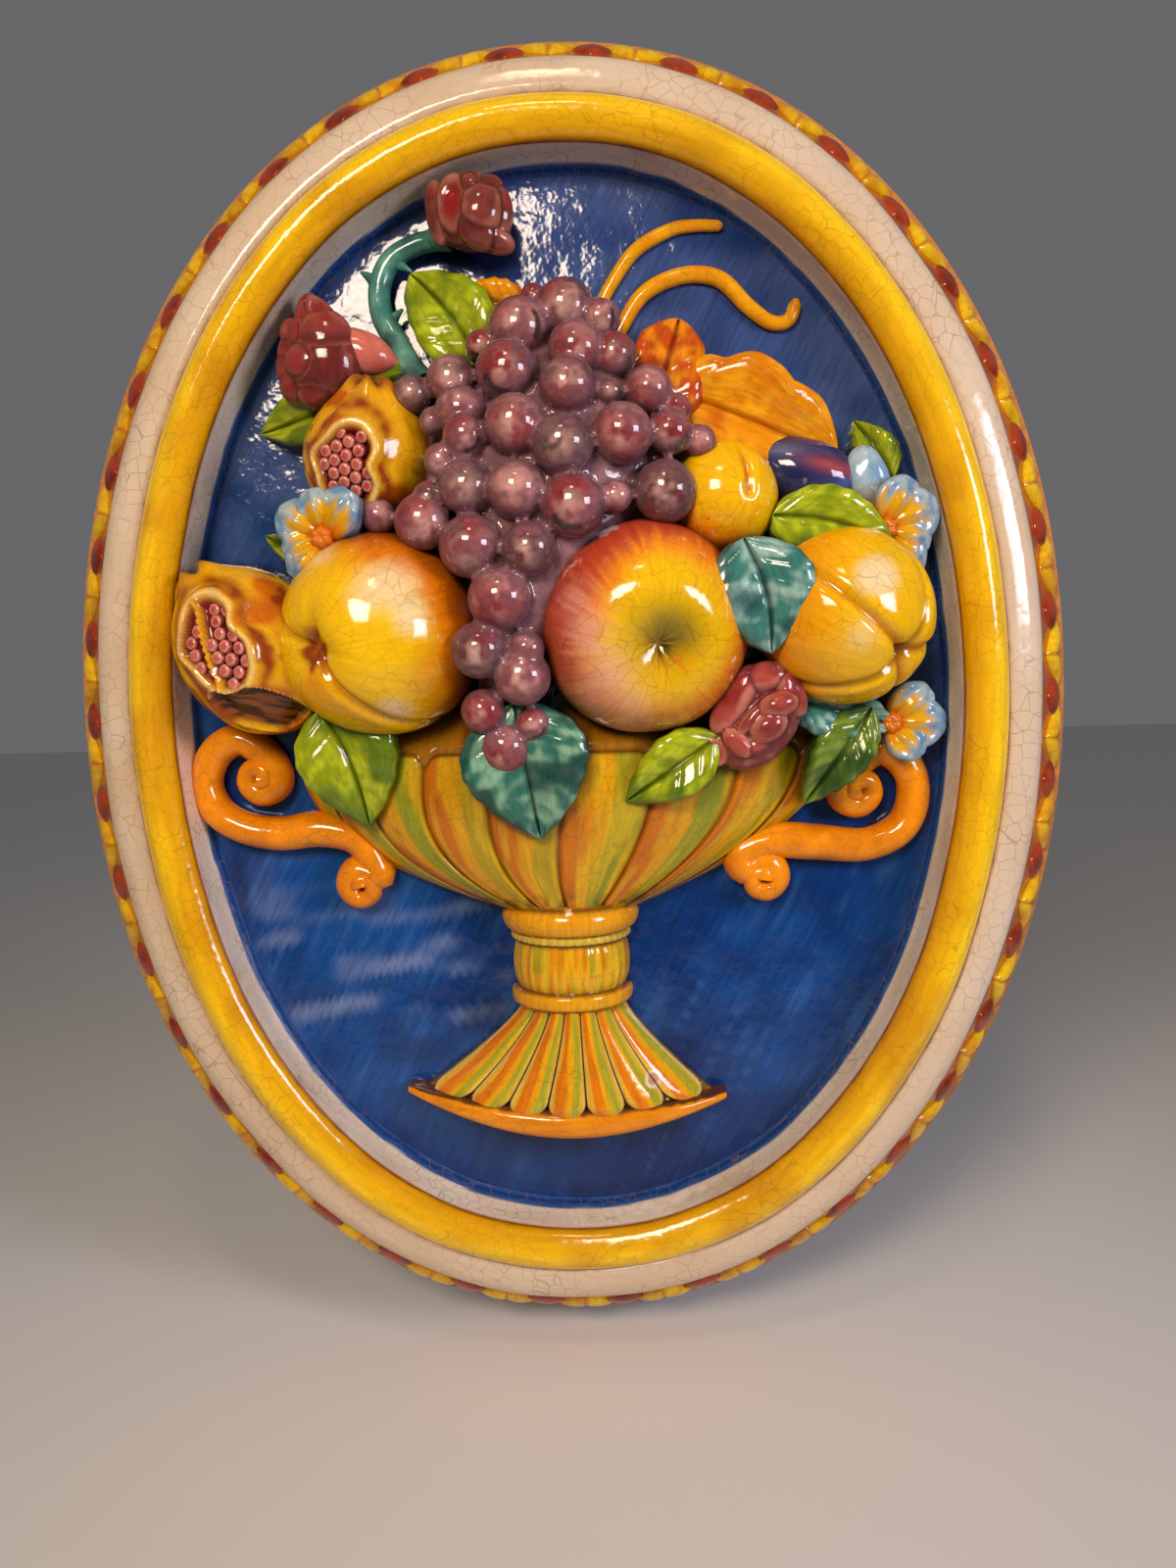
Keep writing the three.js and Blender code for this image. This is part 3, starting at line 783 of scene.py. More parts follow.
# ---- rim, field and back
@dataclass
class OvalBody(SubAssembly):
    """The oval ground that carries everything: banded rim, sloping side, sunk field and hollow back."""

    rooted: ClassVar[bool] = False
    columns: int = 400
    band_root: float = 10.0
    rim_reach: float = 210.0
    band_width: float = 14.0
    roll_profile: tuple = ((12.9, 34.6), (13.6, 36.4), (15.2, 39), (17.6, 41.2), (20.4, 42.1), (23.2, 41.7),
                           (25.8, 40.6), (28, 39.4), (29.7, 37.8), (30.7, 35.6))
    outer_profile: tuple = ((-1.6, 29.2), (-0.9, 31), (1.2, 33), (4, 34.4), (7.5, 35.2), (11, 35.5),
                            (13.4, 34.2))
    inner_profile: tuple = ((30.3, 35.8), (30.9, 35.2), (31.1, 32), (31.3, 27), (31.7, 22.5), (32.4, 19),
                            (33.4, 16.4), (34.6, 14.2))
    side_profile: tuple = ((-1.1, 30.2), (-17.5, 4.2), (-17.5, 2.2))
    bearing_width: float = 30.0
    bearing_inset: float = 12.5
    recess_depth: float = 7.0
    notch_wide: float = 18.0
    notch_rise: float = 10.0
    slate_and_sheen: str = "46588a"

    def band(self, name: str, profile: Sequence[Sequence[float]], lines: int, wobble: float = 0.4,
             bottom: float | None = None) -> Obj:
        """A moulded band of the rim as a closed ring.

        Args:
            name: the piece's name.
            profile: the band's face as (inset, height), from outside to inside.
            lines: cells across the face.
            wobble: how far the hand pressed the clay off the true line, in millimetres.
            bottom: height of the hidden underside.

        Returns:
            The ring, with u round it and v across its face.
        """
        bottom = self.band_root if bottom is None else bottom
        face = flow(profile, lines + 1)
        hidden = 3
        obj, u, v = new_sheet(name, self.columns, lines + hidden)
        row = np.rint(v * (lines + hidden)).astype(int)
        loop = np.vstack([face, [face[-1][0], bottom], [face[0][0], bottom], face[0]])
        inset, height = loop[row, 0], loop[row, 1]
        angle = u * 2 * np.pi
        circle = rows(np.cos(angle) * 6, np.sin(angle) * 6, inset * 0.05)
        inset = inset + wobble * (grain(circle, 1.0, 3) - 0.5) * 2 * (row <= lines)
        height = height + 0.8 * wobble * (grain(circle * 0.7, 1.0, 5) - 0.5) * 2 * (row <= lines)
        x, z = self.ground.ring(angle, inset)
        self.put(obj, rows(x, z, height))
        write_value(obj, "u", u)
        write_value(obj, "v", np.clip(row / lines, 0, 1))
        outward(obj, 1e-6)
        return obj

    def around(self, obj: Obj, wide: float, long: float) -> Array:
        """Strokes that run round the rim."""
        u, v = read_uv(obj)
        turn = u * 2 * np.pi
        return rows(np.cos(turn) * self.rim_reach / long, np.sin(turn) * self.rim_reach / long,
                    v * self.band_width / wide)

    def rim(self) -> None:
        """White band, yellow roll, white band, with brown lines in the grooves between them."""
        brown, cream, shade = "7a3c1a", "dcc9b0", "ccb08e"
        outer = self.band("white_outer_band", self.outer_profile, 18)
        spots, *_ = self.places(outer)
        v = read_value(outer, "v")
        cloud = grain(spots, 22, 1)
        tone = Paint(cream, shade, 0.8 * cloud)
        line = smooth(0.93, 0.985, v + 0.03 * (grain(spots, 5, 9) - 0.5))
        tone.over(brown, line)
        self.keep(outer, CREAM, tone, self.around(outer, 3, 20))

        roll = self.band("yellow_roll", self.roll_profile, 30, 0.5)
        spots, *_ = self.places(roll)
        v = read_value(roll, "v")
        # Darker down the roll's inner slope: painted shade.
        tone = Paint("f0b804", "d89a06", smooth(0.45, 1.0, v))
        # A paler band along the roll's outer slope: a painted highlight.
        tone.over("f6cc1c", bell(v - 0.3, 0.22) * 0.8)
        tone.over("c88408", 0.55 * smooth(0.5, 0.8, grain(spots, (16, 16, 16), 4)))
        edge = np.maximum(smooth(0.055, 0.0, v), smooth(0.93, 0.99, v + 0.03 * (grain(spots, 4, 2) - 0.5)))
        tone.over(brown, edge * 0.9)
        self.keep(roll, YELLOW, tone, self.around(roll, 1.6, 26))

        inner = self.band("white_inner_band", self.inner_profile, 20, 0.5)
        # This cream is lighter than the outer band's, though it is the same glaze: painted light on a steep
        # wall that the lamps hardly reach.
        cream, shade = "f2e6d2", "e0c8a8"
        spots, *_ = self.places(inner)
        v = read_value(inner, "v")
        tone = Paint(cream, shade, 0.9 * grain(spots, 18, 6))
        tone.over(brown, smooth(0.1, 0.0, v))
        tone.over("9a6038", 0.35 * smooth(0.6, 0.8, grain(spots, 11, 8)) * smooth(0.35, 0.0, v))
        low_edge = spots[:, 2] + 1.6 * (grain(spots, 9, 12) - 0.5)
        tone.over("2a5496", smooth(20.6, 19.6, low_edge))
        tone.over("0c2050", 0.8 * bell(low_edge - 16.6, 0.9))
        self.keep(inner, CREAM, tone, self.around(inner, 3, 20))

        side = self.band("garland_ground", self.side_profile, 16, 0.3, 1.5)
        spots, *_ = self.places(side)
        tone = Paint("c8600c", "9c3a10", grain(spots, 9, 3))
        v = read_value(side, "v")
        tone.over("d8c4ac", smooth(0.03, 0.0, v))
        self.keep(side, FRUIT, tone, self.around(side, 2, 12))

    def blue_field(self) -> None:
        """The sunk ground, brushed in cobalt: clouded slate above, partly a painted reflection, deep blue
        with diagonal strokes below, lilac patches of painted reflection at the lower left and painted shade
        at the bottom.
        """
        lines, edge, bottom = 60, 34.0, 9.6
        reach = self.ground.half_width - edge
        face = [(edge + reach * (1 - k / lines), self.ground.field_height) for k in range(lines + 1)]
        obj = self.disc("blue_field", lines, face, bottom)
        spots, x, z, _ = self.places(obj)
        front = spots[:, 2] > 12
        lift = 0.5 * (grain(spots, 24, 31) - 0.5) + 0.25 * (grain(spots, 9, 32) - 0.5)
        spots[:, 2] += lift * front
        self.put(obj, spots)
        deep, middle, light = "06306e", "12488e", "3f6ea6"
        upper = smooth(-30, 110, z)
        cloud = grain(spots, (38, 30, 30), 33) * 0.6 + grain(spots, 13, 34) * 0.4
        tone = Paint(deep, middle, smooth(0.3, 0.75, cloud + 0.12 * smooth(20, -60, x)))
        turn = math.radians(62)
        along = x * math.cos(turn) + z * math.sin(turn)
        across = -x * math.sin(turn) + z * math.cos(turn)
        streak = grain(rows(along / 30, across / 2.6, along * 0), 1.0, 35)
        tone.over(light, 0.3 * smooth(0.62, 0.95, streak) * smooth(40, -60, z))
        # The slate over the upper field is partly cobalt brushed thin and partly a painted reflection.
        grey = smooth(0.4, 0.85, cloud + 0.35 * upper - 0.1) * upper
        tone.over(self.slate_and_sheen, 0.8 * grey)
        # Wavy lilac patches at the lower left: a painted reflection on the rippled glaze.
        left = smooth(0, -45, x) * bell(z + 108, 36)
        haze = grain(rows(x / 22 + z / 60, z / 6.5 - x / 40, x * 0), 1.0, 36)
        tone.over("7f92bc", 0.6 * left * smooth(0.5, 0.85, haze))
        tone.over("041c48", 0.6 * smooth(0.6, 0.9, grain(spots, 20, 37)))
        # Darker towards the bottom of the field: painted shade.
        tone.over("041a48", 0.5 * smooth(-150, -205, z))
        self.keep(obj, COBALT, tone, flat_strokes(spots, 62, 1.7, 16))

    def disc(self, name: str, lines: int, face: Sequence[Sequence[float]], bottom: float) -> Obj:
        """A closed oval plate whose face runs from its middle to its edge.

        Args:
            name: the piece's name.
            lines: cells from the middle to the edge.
            face: (inset, height) at each row, the edge first.
            bottom: height of the other side.

        Returns:
            The plate.
        """
        obj, u, v = new_sheet(name, self.columns, lines + 2)
        row = np.rint(v * (lines + 2)).astype(int)
        loop = np.array([[self.ground.half_width, bottom], [face[0][0], bottom], *face])
        inset, height = loop[row, 0], loop[row, 1]
        x, z = self.ground.ring(u * 2 * np.pi, inset)
        self.put(obj, rows(x, z, height))
        write_value(obj, "u", u)
        outward(obj, 1e-6)
        return obj

    def back(self) -> None:
        """Bare clay back: a flat ring that bears on the wall, a shallow hollow and the hook's notch."""
        top = 9.0
        recess = self.recess_depth
        face = [(-self.ground.back_spread + 0.6, top), (-self.ground.back_spread, 2.6),
                (-self.ground.back_spread + 0.8, 0.0), (-2.0, 0.0), (self.bearing_inset - 1, 0.0),
                (self.bearing_inset + 0.6, recess - 0.8), (self.bearing_inset + 2.5, recess),
                (60.0, recess), (110.0, recess), (self.ground.half_width, recess)]
        fine = np.vstack([flow(face[i:i + 2], 7)[:-1] for i in range(len(face) - 1)] + [[face[-1]]])
        obj = self.disc("clay_back", len(fine) - 1, fine, top)
        ground = self.ground
        roof = ground.lift + ground.half_height + ground.back_spread - self.bearing_width + self.notch_rise
        tall = self.notch_rise + 6
        bpy.ops.mesh.primitive_cube_add(size=1, location=(0, 0, 0))
        cutter = bpy.context.active_object
        block = read_points(cutter) * np.array([self.notch_wide, recess + 2, tall]) * MM
        block += self.ground.metres(np.array([0.0, roof - tall / 2, recess / 2 - 1]))
        write_points(cutter, block)
        apply_modifier(cutter, "BEVEL", width=0.8 * MM, segments=2)
        apply_modifier(obj, "BOOLEAN", object=cutter, operation="DIFFERENCE", solver="EXACT")
        bpy.data.objects.remove(cutter, do_unlink=True)
        spots, x, z, _ = self.places(obj)
        tone = Paint("b56a44", "8c4a2e", grain(spots, 26, 41))
        tone.over("cf9468", 0.6 * smooth(0.55, 0.8, grain(spots, 7, 42)))
        reach = np.hypot(x / (ground.half_width + ground.back_spread),
                         z / (ground.half_height + ground.back_spread))
        spill = smooth(0.965, 0.99, reach + 0.02 * (grain(spots, 8, 43) - 0.5))
        tone.over("c9812a", 0.8 * spill)
        self.keep(obj, BISQUE, tone, flat_strokes(spots, 20, 2.5, 18), 40, "bare_earthenware")

    def build(self) -> None:
        """Make all the parts of the body."""
        self.rim()
        self.blue_field()
        self.back()


# ---- garland on the sloping side
@dataclass
class Garland(SubAssembly):
    """Pairs of yellow leaves and red-brown lozenges that run round the sloping side."""

    rooted: ClassVar[bool] = False
    units: int = 42
    reach: float = 13.2
    rise: float = 3.4

    def stations(self) -> list[tuple[Array, Array, Array, Array]]:
        """Evenly spaced spots on the slope, each with the directions along it, down it and out of it."""
        fine = 2880
        spread = self.ground.back_spread
        angle = np.linspace(0, 2 * np.pi, fine + 1)
        x, z = self.ground.ring(angle, np.full_like(angle, -spread / 2 - 0.6))
        middle = rows(x, z, np.full_like(x, 16.5))
        run = np.concatenate([[0], np.cumsum(np.linalg.norm(np.diff(middle, axis=0), axis=1))])
        out = []
        for k in range(2 * self.units):
            i = int(np.searchsorted(run, (k + 1) / (2 * self.units) * run[-1]))
            along = middle[i] - middle[i - 1]
            along /= np.linalg.norm(along)
            outside = np.array([along[1], -along[0], 0.0])
            down = outside * (spread - 1.2) + np.array([0, 0, -27.0])
            down /= np.linalg.norm(down)
            lift = np.cross(along, down)
            lift *= np.sign(lift[2])
            out.append((middle[i], along, down, lift))
        return out

    def leaf_pair(self, station: tuple[Array, Array, Array, Array]) -> Obj:
        """Two leaves from one stalk at the rim, their tips spread along the outer edge."""
        at, along, down, lift = station

        def surface(u: Array, v: Array) -> Array:
            """Face of the pair: u along the slope, v down it."""
            side = 2 * u - 1
            span = np.abs(side)
            top = -9.5 + 14.5 * span ** 1.25
            foot = 6.8 - 4.2 * bell(span, 0.16) + 2.2 * span
            s, d = side * self.reach, top + (foot - top) * v
            hump = np.sin(np.pi * v) ** 0.7 * (1 - span ** 3) ** 0.5
            vein = 0.7 * bell(span, 0.07)
            h = self.rise * (0.25 + 0.75 * hump) * (1 - 0.6 * span ** 4) - vein
            return at + s[:, None] * along + d[:, None] * down + h[:, None] * lift

        return self.pad("garland_leaf", 22, 12, surface, -lift * 3.0)

    def pad(self, name: str, columns: int, lines: int, surface: Surface, sink: Array) -> Obj:
        """A small closed pad: a shaped face whose border goes straight into the slope."""
        obj, u, v = new_sheet(name, columns, lines)
        self.put(obj, surface(u, v))
        write_value(obj, "u", u)
        write_value(obj, "v", v)
        drop = self.ground.metres(sink) - self.ground.metres(np.zeros(3))
        pick_only(obj)
        bpy.ops.object.mode_set(mode="EDIT")
        bpy.ops.mesh.select_all(action="SELECT")
        bpy.ops.mesh.region_to_loop()
        bpy.ops.mesh.extrude_edges_move(TRANSFORM_OT_translate={"value": tuple(drop)})
        bpy.ops.mesh.edge_face_add()
        bpy.ops.object.mode_set(mode="OBJECT")
        outward(obj, 1e-6)
        return obj

    def build(self) -> None:
        """All the leaf pairs as one piece and all the berries as another."""
        spots = self.stations()
        leaves = joined("garland_leaves", [self.leaf_pair(s) for s in spots[0::2]])
        places, *_ = self.places(leaves)
        u, v = read_uv(leaves)
        tone = Paint("f2c40e", "d8940a", smooth(0.3, 0.9, grain(places, 5, 51)))
        tone.over("b06a08", 0.8 * bell(2 * u - 1, 0.06) + 0.5 * smooth(0.85, 1, v))
        self.keep(leaves, YELLOW, tone, rows(u * 12, v * 3, u * 0), 50)
        berries = []
        for at, along, down, lift in spots[1::2]:
            ball = new_ball("garland_berry", 24, 14)
            raw = read_points(ball)
            turn = np.arctan2(raw[:, 1], raw[:, 0])
            corner = (1 / (np.abs(np.cos(turn)) ** 1.25 + np.abs(np.sin(turn)) ** 1.25) ** 0.8)[:, None]
            place = (at + raw[:, :1] * corner * along * 8.2 + raw[:, 1:2] * corner * down * 9.6
                     + (raw[:, 2:] * 3.2 - 0.4) * lift)
            self.put(ball, place)
            berries.append(ball)
        berries = joined("garland_berries", berries)
        outward(berries, 1e-7)
        places, *_ = self.places(berries)
        tone = Paint("a83c16", "7c2610", smooth(0.3, 0.8, grain(places, 6, 52)))
        self.keep(berries, FRUIT, tone, places / 3)


# ---- footed bowl
def half_round(ground: Ground, share: Array, top: Array) -> Array:
    """Height of a half-round form across its width, share from 0 to 1."""
    return ground.field_height + (top - ground.field_height) * np.sin(np.pi * np.clip(share, 0, 1)) ** 0.62


@dataclass
class FootedBowl(SubAssembly):
    """The fluted bowl on its stem and foot, with its two scrolled handles."""

    top: float = 3.0
    bottom: float = -79.0
    flutes: tuple[int, int] = (5, 4)
    flute_top: float = -14.0
    lip_drop: float = 12.0
    foot_flutes: int = 7
    foot_top: float = -118.0
    stem_x: float = -1.5
    stem_height: float = 14.0
    handle_radius: float = 6.6

    def across_bowl(self, u: Array, climb: Array) -> Array:
        """Share of the bowl's width: flutes narrow as they turn away, most of all near the stem."""
        flute = u * sum(self.flutes) - self.flutes[0]
        side = flute / np.where(flute < 0, self.flutes[0], self.flutes[1])
        bend = 1 - 0.65 * climb
        return 0.5 + 0.5 * (side * (1 - bend) + np.sin(np.pi / 2 * side) * bend)

    def bowl(self) -> None:
        """Bowl wall: flat tongues side by side, parted by brown grooves, under a plain band."""
        count = sum(self.flutes)

        def climb_at(z: Array) -> Array:
            """How far up the wall a place is, 0 to 1."""
            return np.clip((z - self.bottom) / (self.top - 5 - self.bottom), 0, 1)

        def surface(u: Array, v: Array) -> Array:
            """Face of the wall, u from left to right and v upwards."""
            z = self.bottom + (self.top - self.bottom) * v
            climb = climb_at(z)
            left = -(28 + 83 * (1 - (1 - climb) ** 3))
            right = 26 + 85 * (1 - (1 - climb) ** 2.3)
            share = self.across_bowl(u, climb)
            lip = self.lip_drop * np.maximum(0, (z - self.flute_top) / (self.top - self.flute_top)) ** 1.3
            crest = 36 + 14 * np.sin((np.pi / 2) * np.minimum(1, climb * 1.25)) - lip
            part = (u * count) % 1
            edge = np.minimum(part, 1 - part)
            cut = self.flute_top - 5 * bell(edge, 0.1)
            end = smooth(cut + 0.8, cut - 0.8, z)
            groove = -1.7 * bell(edge, 0.045) * end + 1.0 * end - 0.8 * bell(z - cut - 1.2, 1.2)
            height = np.maximum(self.ground.field_height - 1, half_round(self.ground, share, crest) + groove)
            return rows(left + (right - left) * share, z, height)

        obj = new_raised(self.ground, "bowl", 300, 92, surface)
        spots, _, z, _ = self.places(obj)
        u = read_value(obj, "u")
        panel = np.floor(u * count)
        part = (u * count) % 1
        edge = np.minimum(part, 1 - part)
        pick = np.random.default_rng(5).random(count + 2)[np.clip(panel, 0, count).astype(int)]
        line = rows(part * 12 + panel * 17, z / 22, panel)
        streak = grain(line, (1.6, 1, 1), 62)
        wander = 0.16 * (grain(line, (14, 1, 1), 61) - 0.5) + 0.1 * (streak - 0.5)
        tone = Paint("c87208", "b8660c", streak)
        tone.over("d49c0a", smooth(0.26, 0.4, part + wander))
        green = mixed("7c8a14", "a0a024", pick)
        tone.over(green, (0.55 + 0.4 * (pick > 0.3)) * smooth(0.5, 0.62, part + wander))
        tone.over("c8a012", smooth(0.84, 0.92, part + wander))
        tone.over("dab018", 0.5 * smooth(0.6, 0.8, streak))
        cut = self.flute_top - 5 * bell(edge, 0.1)
        tongue = smooth(cut + 0.6, cut - 0.6, z)
        tone = Paint("a06c10", tone.colour, tongue)
        rim_line = bell(z - cut, 0.9) * smooth(-70, -40, z)
        side_line = bell(edge, 0.035) * tongue
        # Dark speckles over the lowest part of the bowl, just above the collar.
        low_speckle = smooth(-66, -76, z) * smooth(0.35, 0.7, grain(spots, 3.2, 63))
        side_line = side_line * (0.55 + 0.5 * grain(spots, 9, 64))
        dark = np.clip(np.maximum(rim_line, side_line) + 0.8 * low_speckle, 0, 1)
        tone.over("4a2408", dark * 0.85)
        # Darker towards the top of the bowl, under the fruit: painted shadow of the fruit.
        shade = smooth(-16, -2, z + 4 * (grain(spots, 12, 65) - 0.5))
        tone.over("7a4c0c", 0.55 * shade)
        self.keep(obj, BOWL, tone, rows(part * 15 + panel * 5, z / 16, panel))

    def stem(self) -> None:
        """Collar, thin ribbed ring, swelled barrel and lower ring, turned about an upright axis."""
        profile = [(0, -74), (25, -75.5), (27.6, -79.4), (28, -83), (26.4, -86.4), (24.2, -87.8), (24.4, -89),
                   (24.2, -90.8), (22.6, -91.6), (23.4, -96), (23.9, -101.5), (23.3, -107), (22.2, -110.6),
                   (24.4, -111.8), (25.0, -114.4), (24.4, -117), (22, -119), (0, -121)]
        knots = np.array(profile, float)
        line = np.vstack([knots[:1], flow(knots[1:-1], 84), knots[-1:]])
        obj, u, v = new_sheet("stem", 150, len(line) - 1)
        turn = u * 2 * np.pi
        row = np.rint(v * (len(line) - 1)).astype(int)
        radius, z = line[row, 0], line[row, 1]
        thin = (z < -87.6) & (z > -91)
        barrel = (z < -91.6) & (z > -110.6)
        radius = radius + thin * 0.35 * np.cos(turn * 44) + barrel * 0.22 * np.cos(turn * 30)
        height = np.maximum(self.stem_height + radius * np.sin(turn), 9.0)
        self.put(obj, rows(self.stem_x + radius * np.cos(turn), z, height))
        write_value(obj, "u", turn)
        outward(obj, 1e-6)
        places, x, z, height = self.places(obj)
        turn = np.arctan2(height - self.stem_height, x - self.stem_x)
        strip = rows(turn * 22, z, z * 0)
        tone = Paint("e0960c", "e8a810", grain(places, 8, 66))
        streak = grain(strip, (1.6, 16, 1), 67)
        body = Paint("e0a80e", "d07c0a", smooth(0.55, 0.8, streak))
        body.over("a8a01c", 0.8 * smooth(0.6, 0.85, grain(strip, (2.2, 14, 1), 68)))
        body.over("e8c020", 0.6 * smooth(0.6, 0.85, grain(strip, (2.0, 20, 1), 69)))
        tone.over(body.colour, smooth(-91.4, -92.2, z) * smooth(-111.4, -110.4, z))
        tone.over("d8b83c", smooth(-87.2, -88, z) * smooth(-91.4, -90.6, z))
        rough = 0.45 * (grain(places, 2.2, 70) - 0.5)
        for level, wide in ((-76.4, 1.3), (-87.4, 0.6), (-91.6, 0.8), (-110.9, 0.8), (-117.8, 0.8)):
            tone.over("5a300c", 0.9 * bell(z - level + rough, wide))
        self.keep(obj, BOWL, tone, rows(turn * 22 / 1.3, z / 14, z * 0))

    def foot(self) -> None:
        """Flutes that flare from the lower ring and end rounded, with dark pockets between their ends."""
        count = self.foot_flutes

        def low_edge(u: Array) -> Array:
            """Lowest place of the flutes along the foot."""
            return -154 - 3 * u - 5 * np.sin(np.pi * u)

        def flute_body(u: Array, v: Array) -> Array:
            """1 along the middle of a flute, 0 in its grooves and past its rounded end."""
            end = np.clip((v - 0.83) / 0.17, 0, 1)
            return 1 - (2 * ((u * count) % 1) - 1) ** 2 - 0.98 * end ** 2.4

        def surface(u: Array, v: Array) -> Array:
            """Face of the flutes, u from left to right and v downwards."""
            spread = v ** 1.25
            x = (-22 + 42 * u) * (1 - spread) + (-64 + 119 * u) * spread
            z = self.foot_top + (low_edge(u) - self.foot_top) * v
            inside = np.clip(flute_body(u, v), 0, 1) ** 0.5
            crest = 33 + 6 * v + 4.2 * inside
            height = half_round(self.ground, 0.03 + 0.94 * u, crest) - 2.4 * (inside < 0.05)
            return rows(x, z, np.maximum(self.ground.field_height - 1, height))

        obj = new_raised(self.ground, "foot", 252, 80, surface)
        spots, x, z, _ = self.places(obj)
        u, v = read_uv(obj)
        panel = np.floor(u * count)
        part = (u * count) % 1
        body = flute_body(u, v)
        line = rows(part * 8 + panel * 9, v * 3, panel)
        wander = 0.16 * (grain(line, (8, 1, 1), 71) - 0.5) + 0.1 * (grain(line, (1.2, 1, 1), 78) - 0.5)
        tone = Paint("e07c08", "e8a80e", smooth(0.34, 0.5, part + wander))
        tone.over("9aa62c", 0.85 * smooth(0.56, 0.66, part + wander))
        tone.over("e0b41c", smooth(0.8, 0.88, part + wander))
        tone.over("e8c83c", smooth(0.2, 0.1, part + wander) * 0.7)
        tone.over("e8d890", 0.7 * smooth(0.34, 0.16, body) * smooth(0.0, 0.12, body))
        gap = smooth(0.12, 0.02, body)
        tone.over("5a340c", gap * (0.6 + 0.4 * grain(spots, 2.5, 72)))
        chip = np.hypot(x - 30.6, z + 147.5)
        tone.over("f0dcc0", smooth(3.6, 3.1, chip))
        tone.over("d09a78", smooth(2.5, 2.0, chip))
        self.keep(obj, BOWL, tone, rows(part * 8 + panel * 5, v * 3, panel), 70)

    def base_slab(self) -> None:
        """Thin curved slab under the flutes."""

        def surface(u: Array, v: Array) -> Array:
            """Face of the slab, u from left to right and v downwards."""
            bow = np.sin(np.pi * u)
            z = -151.5 - 4.8 * u - 3.5 * bow - v * (3.0 + 8.4 * bow)
            lip = 42 - 3.5 * np.abs(2 * v - 1) ** 3
            height = half_round(self.ground, 0.05 + 0.9 * u, lip)
            return rows(-70 + 130.5 * u, z, height)

        obj = new_raised(self.ground, "base_slab", 200, 24, surface, lip=1.2)
        spots, *_ = self.places(obj)
        v = read_value(obj, "v")
        tone = Paint("f09a08", "d87c08", grain(spots, 9, 73))
        # A dark band along the slab's top edge, under the flute ends: painted shadow.
        tone.over("5a300c", smooth(0.18, 0.04, v + 0.1 * (grain(spots, 2.5, 74) - 0.5)))
        self.keep(obj, YELLOW, tone, flat_strokes(spots, 0, 2, 12))

    @staticmethod
    def scroll(middle: Sequence[float], start: float, way: int) -> list[tuple[float, float]]:
        """Places from a scroll's middle outwards, ending at a start angle; way is 1 for anticlockwise."""
        return [(middle[0] + reach * math.cos(math.radians(start - way * turn)),
                 middle[1] + reach * math.sin(math.radians(start - way * turn)))
                for reach, turn in ((0.6, 500), (2.8, 430), (4.2, 360), (4.8, 285), (5.2, 215), (5.8, 145),
                                    (6.6, 75), (8.0, 0))]

    def handles(self) -> None:
        """Scrolled handles: a round strand curled in at both ends."""
        runs = {
            "handle_left": [*self.scroll((-124.5, -23.2), 60, 1), (-131, -7.5), (-142, -12), (-147, -24),
                            (-143, -36), (-133, -43), (-118, -46), (-101, -44.5), (-86, -49),
                            *self.scroll((-85, -68), 35, -1)[::-1]],
            "handle_right": [*self.scroll((115, -33.6), 120, -1), (122, -18), (131, -21), (136.5, -30),
                             (136, -42), (130, -51), (117, -56), (98, -54.5), (80, -53.5), (68, -58),
                             *self.scroll((76.5, -68.5), 150, 1)[::-1]],
        }
        for name, points in runs.items():
            line = flow(points, 240)
            share = np.linspace(0, 1, len(line))
            thin = 1 - 0.45 * smooth(0.82, 0.97, share) - 0.4 * smooth(0.17, 0.03, share)
            radius = self.handle_radius * thin
            radius = radius * (1 + 0.12 * bell(share - 0.66, 0.1))
            radius = radius + 0.25 * (grain(rows(share * 30, share, share), 1.0, 75) - 0.5)
            coil = np.maximum(bell(share, 0.08), bell(share - 1, 0.08))
            height = 19.5 + 4.5 * coil
            places = np.column_stack([line, height])
            obj = new_strand(self.ground, name, places, radius, 1.15, 26)
            spots, *_ = self.places(obj)
            tone = Paint("f08c06", "d06c06", smooth(0.3, 0.8, grain(spots, 9, 76)))
            # Paler orange on the strand's raised crest: a painted highlight.
            tone.over("f09a10", 0.4 * smooth(20, 26, spots[:, 2]))
            self.keep(obj, YELLOW, tone, spots / 5)

    def build(self) -> None:
        """Make the whole vessel."""
        self.bowl()
        self.stem()
        self.foot()
        self.base_slab()
        self.handles()


# ---- fruit
def off_angle(turn: Array, angle: float) -> Array:
    """Smallest difference between angles, in radians; the fixed one is given in degrees."""
    return np.abs((turn - math.radians(angle) + np.pi) % (2 * np.pi) - np.pi)


def crease(polar: Array, turn: Array, angle: float, width: float, least: float = 0.05) -> Array:
    """Nearness, 0 to 1, to a crease that leaves the pole of a fruit.

    Args:
        polar: angle of each point off the pole.
        turn: its turn round the pole.
        angle: the turn at which the crease runs, in degrees.
        width: half width of the crease, as a share of the fruit's radius.
        least: the crease gets no narrower than it is at this angle off the pole.

    Returns:
        One number for each point.
    """
    return bell(off_angle(turn, angle) * np.sin(np.clip(polar, least, 3)), width)


def dented(swell: Array, polar: Array, turn: Array, creases: Sequence[Sequence[float]]) -> Array:
    """A fruit's shape with creases pressed in, each given by its angle, depth, width and reach."""
    for angle, depth, width, reach in creases:
        near = crease(polar, turn, angle, width * 0.42)
        swell = swell - depth * near * bell(polar, reach)
    return swell


